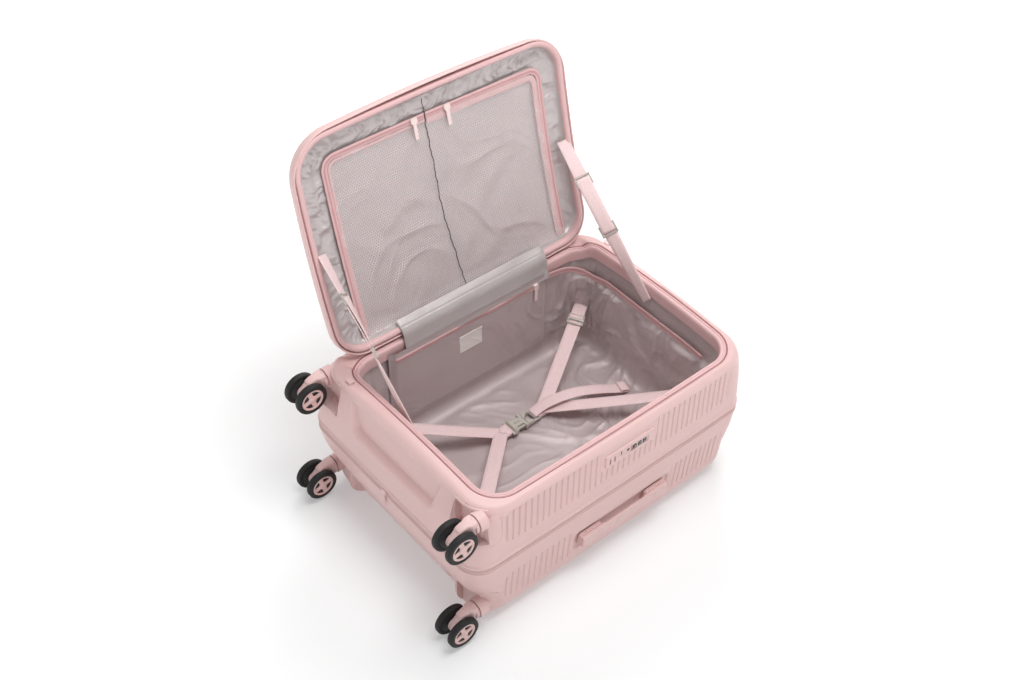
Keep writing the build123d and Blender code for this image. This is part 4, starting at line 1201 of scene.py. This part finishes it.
def make_lock():
    x, z = np.arange(-53.0, 60.01, 0.4), np.arange(226.0, 259.01, 0.4)
    X, Z = np.meshgrid(x, z, indexing="ij")
    sd = rbox_sd(X, Z, -50, 57, 229, 256, 2.5)
    h = 5.0 * sstep(0.2, -0.9, sd) - 1.6 * sstep(1.9, 0.9, np.abs(sd - 1.3))

    def cut(x0, x1, z0, z1, r, to):
        return np.where(rbox_sd(X, Z, x0, x1, z0, z1, r) < 0, to, h)

    for dx in (14.0, 25.0, 36.0):
        h = cut(dx - 4.3, dx + 4.3, 240.5 - 6.2, 240.5 + 6.2, 1.0, -9.0)
    for px in (-40.0, -30.0):
        h = cut(px - 1.6, px + 1.6, 233.5, 246.5, 1.0, -6.0)
    for px in (6.0, 8.4, 43.5):
        h = cut(px - 0.9, px + 0.9, 233.0, 247.5, 0.8, -4.0)
    h = cut(-16 - 5.3, -16 + 5.3, 245 - 5.3, 245 + 5.3, 5.29, -6.0)
    h = cut(-6.5, 4.5, 235.5, 250.5, 1.5, -6.0)
    parts = [grid_mesh("p", np.stack([X, -221.0 - h, Z], -1), M_TRIM)]
    # dark red bars in the lock plate's slots and along its left edge: painted shade of the slots and the edge gap
    for x0, x1, y0, z0, z1 in ((-41.5, -38.5, -225.5, 233.6, 246.4), (-31.5, -28.5, -225.5, 233.6, 246.4), (5.2, 6.8, -225.7, 233.1, 247.4), (7.6, 9.2, -225.7, 233.1, 247.4), (42.7, 44.3, -225.7, 233.1, 247.4), (-52.8, -50.4, -222.2, 228.0, 255.0)):
        parts.append(bar("s", x0, x1, y0, -217.0, z0, z1, 0.2, M_GAP_SHADE))
    return join("lock_plate", parts)


# ---------------------------------------------------------------- numbers on the dials
def make_digits(k, dx):
    parts = []
    for i in range(10):
        cu = bpy.data.curves.new("d", "FONT")
        cu.body = str(i)
        cu.size = 4.6 * MM
        cu.align_x, cu.align_y = "CENTER", "CENTER"
        cu.extrude = 0.06 * MM
        t = bpy.data.objects.new("d", cu)
        sc.collection.objects.link(t)
        bpy.context.view_layer.update()
        me = bpy.data.meshes.new_from_object(t.evaluated_get(bpy.context.evaluated_depsgraph_get()))
        bpy.data.objects.remove(t)
        n = len(me.vertices)
        co = np.zeros(n * 3)
        me.vertices.foreach_get("co", co)
        co = co.reshape(-1, 3) / MM
        phi = math.radians(36.0 * i + 9 * k) + co[:, 1] / 8.1
        R = 8.06 + co[:, 2]
        co = np.stack([dx + co[:, 0], -218.5 - R * np.cos(phi), 240.5 + R * np.sin(phi)], 1)
        me.vertices.foreach_set("co", (co * MM).ravel())
        me.update()
        parts.append(link("d", me, M_WHITE))
    return join("dial_numbers_%d" % k, parts)


# ================================================================ assembly
make_stage()
front = make_front()
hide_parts("front_shell")
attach(front, "case")
back = make_back()
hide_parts("back_shell")
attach(back, "case")
band = make_band()
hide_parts("expansion_zip", "expansion_gusset")
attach(band, "case")
rim = make_rim()
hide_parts("rim_zip")
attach(rim, "case")
lid, lid_ribs = make_lid()
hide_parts("lid_shell")
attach(lid, "lid")
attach(lid_ribs, "lid")
bead = make_lid_bead()
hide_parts("lid_zip")
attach(bead, "lid")

# casters
for tag, sy, zs in (("front_lock", -1, SWIVEL_F), ("front_hinge", 1, SWIVEL_F), ("back_lock", -1, SWIVEL_B), ("back_hinge", 1, SWIVEL_B)):
    w = make_wheels(tag, sy * CASTER_Y, zs - TRAIL)
    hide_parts(tag + "_wheels")
    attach(w, tag + "_wheelset")
    f = make_fork(tag, sy * CASTER_Y, zs)
    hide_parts(tag + "_caster_fork")
    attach(f, tag + "_swivel")
    show(tag + "_axle", M_STEEL)

# lining, wall pocket, patch, sleeve
lining = make_lining()
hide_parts("case_lining")
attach(lining, "case")
# cut as a floor of 510 x 365 with four walls 211 high, its corners left out
declare(960)
panel = make_panel()
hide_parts("wall_pocket")
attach(panel, "case")
declare(365)
pzip, n = wall_tape("wall_pocket_zip_tape", [(-175, 249.5), (-60, 248.6), (60, 247.8), (142, 247.4)], 10.0, M_ZIP, 1.9)
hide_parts("wall_pocket_zip")
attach(pzip, "case")
declare(11.5)
patch = make_patch()
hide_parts("label_patch")
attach(patch, "case")
declare(53)
sleeve = make_sleeve()
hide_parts("hinge_sleeve")
declare(330)
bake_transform(sleeve)

# access zip of the lining, round the top end
def wall_line(name, pts, width, mat, unit_u, side):
    o, n = ribbon(name, pts, width, 1.0, mat, side, 3.0, unit_u)
    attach(o, "case")
    declare(width + 0.6)
    return o


acc = [(174, 170.5, 254), (200, 170.0, 250), (226, 166.5, 243), (246, 155, 234), (255.5, 135, 228)] + [(257.5, y, zip_z(y) + 7.5) for y in (100, 50, 0, -50, -100)] + [(256.5, -142, 227.5)]
wall_line("access_zip_tape", acc, 13.0, M_ZIP, 1.9, [(0, 0, 1)] * len(acc))

# webbing
def strap(name, pts, side, step=4.0, width=26.0):
    return ribbon(name, pts, width, 1.5, M_WEB, side, step)


def flat_side(p, q):
    return (-(q[1] - p[1]), q[0] - p[0], 0)


def sag(p, q, d, n=5):
    p, q = np.array(p, float), np.array(q, float)
    t = np.linspace(0, 1, n)
    return [tuple(p + (q - p) * k - np.array([0, 0, d * 4 * k * (1 - k)])) for k in t]


def pair(name, strips, node, body):
    objs, total = [], 0.0
    for k, (pts, side) in enumerate(strips):
        o, n = strap("w", pts, side)
        objs.append(o)
        total += n
    o = join(name, objs)
    if node:
        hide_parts(node)
    if body:
        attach(o, body)
    declare(26.2)
    return o


BZ = 72.0
A1, A2, A3, A4 = (-254.5, 158, 153.5), (-254.5, -152, 158), (252, 157.5, 152.5), (254, -131, 134.5)
JL, JR = (-37, 50, BZ + 1.6), (61, 50, BZ + 1.6)
JL2, JR2 = (-37, 50, BZ + 3.3), (61, 50, BZ + 3.3)
pair("cross_straps_left", [(sag(A1, JL, 1.5), flat_side(A1, JL)), (sag(A2, JL2, 1.5), flat_side(A2, JL2)),
                           ([(-50, 50, BZ), (-40, 50, BZ), (-26, 50, BZ + 1.8), (-19.5, 50, BZ + 2.8), (-16.9, 50, BZ), (-19.5, 50, BZ - 2.8), (-26, 50, BZ - 1.8), (-44, 50, BZ - 1.7)], (0, 1, 0))],
     "cross_strap_left", "case")
right = pair("cross_straps_right", [(sag(A3, JR, 1.5), flat_side(JR, A3)), (sag(A4, JR2, 1.5), flat_side(JR2, A4))], "cross_strap_right", None)
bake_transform(right)
loop_r = pair("buckle_loop", [([(74, 50, BZ), (62, 50, BZ), (51, 50, BZ + 1.8), (44.5, 50, BZ + 2.8), (41.9, 50, BZ), (44.5, 50, BZ - 2.8), (51, 50, BZ - 1.8), (68, 50, BZ - 1.7)], (0, -1, 0))], None, "buckle_release")
tail_pts = [(37.5, 51, BZ + 3.2), (48, 50.5, 79), (62, 48, 85), (84, 41, 91.5), (112, 32, 94.5), (140, 23.5, 91), (172, 13, 83), (200, 4, 73.5), (219, -2, 68.5), (225, -4, 70.5), (221, -2.6, 73.5), (208, 1.6, 75.5)]
tail, n = strap("strap_tail_end", tail_pts, [(0.31, 0.95, 0)] * len(tail_pts), 3.0, 24.0)
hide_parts("strap_tail")
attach(tail, "buckle_release")
declare(24.2)


def ladder(name, c, d, nrm, w=32.0, mat=None):
    """Slide adjuster: rounded frame with a centre bar."""
    d, nrm = unit(np.array(d, float)), unit(np.array(nrm, float))
    nrm = unit(nrm - d * (d @ nrm))
    s = np.cross(nrm, d)
    parts = [bar("l", -11, -7.6, -w / 2, w / 2, -1.9, 1.9, 1.2, mat), bar("l", 7.6, 11, -w / 2, w / 2, -1.9, 1.9, 1.2, mat), bar("l", -1.9, 1.9, -w / 2, w / 2, -1.4, 1.8, 0.9, mat),
             bar("l", -11, 11, -w / 2, -w / 2 + 2.9, -1.9, 1.9, 1.2, mat), bar("l", -11, 11, w / 2 - 2.9, w / 2, -1.9, 1.9, 1.2, mat)]
    o = join(name, parts)
    c = np.array(c, float) * MM
    o.data.transform(Matrix(((d[0], s[0], nrm[0], c[0]), (d[1], s[1], nrm[1], c[1]), (d[2], s[2], nrm[2], c[2]), (0, 0, 0, 1))))
    return o


d3 = unit(np.array(A3) - np.array(JR))
adj = ladder("cross_adjuster", np.array((247.0, 154.0, 150.0)) - d3 * 34 + np.array([0, 0, 2.4]), d3, (0, 0, 1), 32, M_GREY)
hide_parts("strap_adjuster")
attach(adj, "case")
dbl, n = strap("strap_doubling", [tuple(np.array(A3) - d3 * 6 + np.array([0, 0, 2.6])), tuple(np.array(A3) - d3 * 24 + np.array([0, 0, 3.0])), tuple(np.array(A3) - d3 * 40 + np.array([0, 0, 2.6]))], flat_side(JR, A3))
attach(dbl, "case")
declare(26.2)

# lid support straps
adjusters = []
for tag, lidp, casep, sx in (("left", opened((-251.5, -10, archz(-10, 3.0))), np.array((-257.5, 8.0, 262.0)), 1), ("right", opened((263.5, -6, archz(-6, 3.0))), np.array((260.5, 4.0, 262.0)), -1)):
    d = unit(casep - lidp)
    side = np.cross((sx, 0, 0), d)
    st = 0.0
    e0, e1 = lidp - d * 4, casep + d * 3
    pts = [e0 + (e1 - e0) * t + np.array([sx * 1.6 * math.sin(math.pi * t), 0, 0]) for t in np.linspace(0, 1, 7)]
    tw = 1.0 if sx < 0 else 0.6
    flat = np.array((1.0, 0, 0)) * tw + side * (1 - tw)

    def turn(t):
        return tuple(flat + (side - flat) * t)

    o1, n1 = strap("w", pts, [turn(t) for t in np.linspace(0, 1, 7)])
    L = np.linalg.norm(e1 - e0)
    pts2 = [e0 + d * (L * t) + np.array([sx * 1.6 * math.sin(math.pi * t), 0, 0]) + np.cross(d, unit(np.array(turn(t)))) * k for t, k in ((0.235, 3.0), (0.27, 3.3), (0.4, 3.9), (0.53, 3.3), (0.565, 3.0))]
    o2, n2 = strap("w", pts2, [turn(t) for t in (0.235, 0.27, 0.4, 0.53, 0.565)])
    o = join("support_web_" + tag, [o1, o2])
    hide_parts("support_strap_" + tag)
    declare(26.2)
    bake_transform(o)
    for k, t in enumerate((0.25, 0.55)):
        a = ladder("support_adjuster_%s_%d" % (tag, k + 1), e0 + d * (L * t) + np.array([sx * 1.6 * math.sin(math.pi * t), 0, 0]) + np.cross(d, unit(np.array(turn(t)))) * 1.6, d, np.cross(d, unit(np.array(turn(t)))), 32, M_GREY)
        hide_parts("support_adjusters")
        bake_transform(a)

# inside of the lid
tray = make_tray()
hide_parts("lid_lining")
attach(tray, "lid")
# cut to 559 x 405 inside its seam, with corners of 66 radius
declare(610)
nets = [make_net(-1), make_net(1)]
for o, nw in zip(nets, (235, 262)):
    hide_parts("mesh_pockets")
    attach(o, "lid")
    declare(nw)
zl = rounded_corner((-9.2, -161), (-209, -161), (-209, 166), 22)
zr = rounded_corner((-6.2, -161), (236, -156), (236, 166), 22)
offs = [14.6, 14.4, 14.2, 14.0, 13.6, 13.0]
zt = []
for name, xy in (("mesh_zip_tape_left", zl), ("mesh_zip_tape_right", zr[::1])):
    o, n = lid_tape(name, xy, 10.5, 14.9, M_ZIP, 1.9, 0.9)
    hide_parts("mesh_pocket_zips")
    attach(o, "lid")
    declare(12.0)
bl = rounded_corner((-9, -152), (-200.2, -152), (-201.6, 166), 16)
br = rounded_corner((-5, -150), (224.5, -145), (226.5, 166), 15)
for name, xy, w in (("net_binding_left", bl, 5.5), ("net_binding_right", br, 11.0)):
    o, n = lid_tape(name, xy, w, 15.0, M_BIND, 1.0, 0.5)
    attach(o, "lid")
    declare(w + 1.5)
ys = np.linspace(-198, 169, 120)
seam = np.column_stack([seam_x(ys), ys])
b = np.clip((ys - PKT_Y0) / (PKT_Y1 - PKT_Y0), 0, 1)
o, n = lid_tape("centre_seam", seam, 1.6, list(15.2 - 5.0 * sstep(0.93, 1.0, b)), M_DARK, 1.0, 0.5)
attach(o, "lid")
declare(4.0)

# lock, handles and other parts of the frame
for n, m, bv in (("wheel_housings_front", M_SHELL, None), ("wheel_housings_back", M_SHELL, None), ("wall_pocket_slider", M_PULL, 0.6),
                 ("key_cylinder", M_TRIM, 0.3), ("lock_button", M_TRIM, 0.4),
                 ("lock_dial_1", M_BLACK, None), ("lock_dial_2", M_BLACK, None), ("lock_dial_3", M_BLACK, None), ("handle_bases", M_TRIM, 1.0), 
                 ("top_handle_grip", M_TRIM, 1.4), ("trolley_housing", M_TRIM, 1.0), ("trolley_base_bracket", M_BLACK, 1.0), ("trolley_outer_tubes", M_TUBE, None), ("trolley_middle_tubes", M_TUBE, None),
                 ("trolley_inner_tubes", M_TUBE, None), ("trolley_grip", M_TRIM, 1.2), ("trolley_button", M_GREY, 0.8), ("lid_zip_slider_wheel_end", M_TRIM, 0.8), ("lid_zip_slider_top_end", M_TRIM, 0.8),
                 ("mesh_slider_left", M_PULL, 0.6), ("mesh_slider_right", M_PULL, 0.6)):
    show(n, m, bv)
socket, prongs = make_buckle()
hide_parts("buckle_female")
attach(socket, "case")
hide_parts("buckle_male")
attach(prongs, "buckle_release")
xs = XW - BELLY
slider = join("band_slider", [bar("b", xs - 4.6, xs + 0.6, 7.0, 19.0, Z_BACK + 0.6, Z_FRONT - 0.6, 1.2, M_TRIM), bar("t", xs - 4.8, xs - 3.2, 9.6, 16.4, Z_BACK - 26, Z_BACK + 2, 0.5, M_TRIM)])
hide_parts("expansion_zip_slider")
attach(slider, "expansion_slider")
grip = make_grip()
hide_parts("side_handle_grip")
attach(grip, "side_handle")
lock = make_lock()
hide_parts("lock_housing")
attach(lock, "case")
# the key slot is a black bar on the cylinder's face: painted shade of the keyhole
keyhole_shade = bar("key_slot", -17.0, -15.0, -225.9, -225.0, 241.6, 248.4, 0.2, M_BLACK)
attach(keyhole_shade, "key_cylinder")
inlay = lathe("button_inlay", [(0.02, 0.5), (3.0, 0.5), (3.5, 0.1), (3.5, -0.8), (0.02, -0.8)], "y", (-1.0, -225.6, 243.0), M_BLACK, n=36, sgn=-1)
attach(inlay, "lock_button")
for k, dx in enumerate((14.0, 25.0, 36.0)):
    o = make_digits(k + 1, dx)
    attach(o, "dial_%d" % (k + 1))
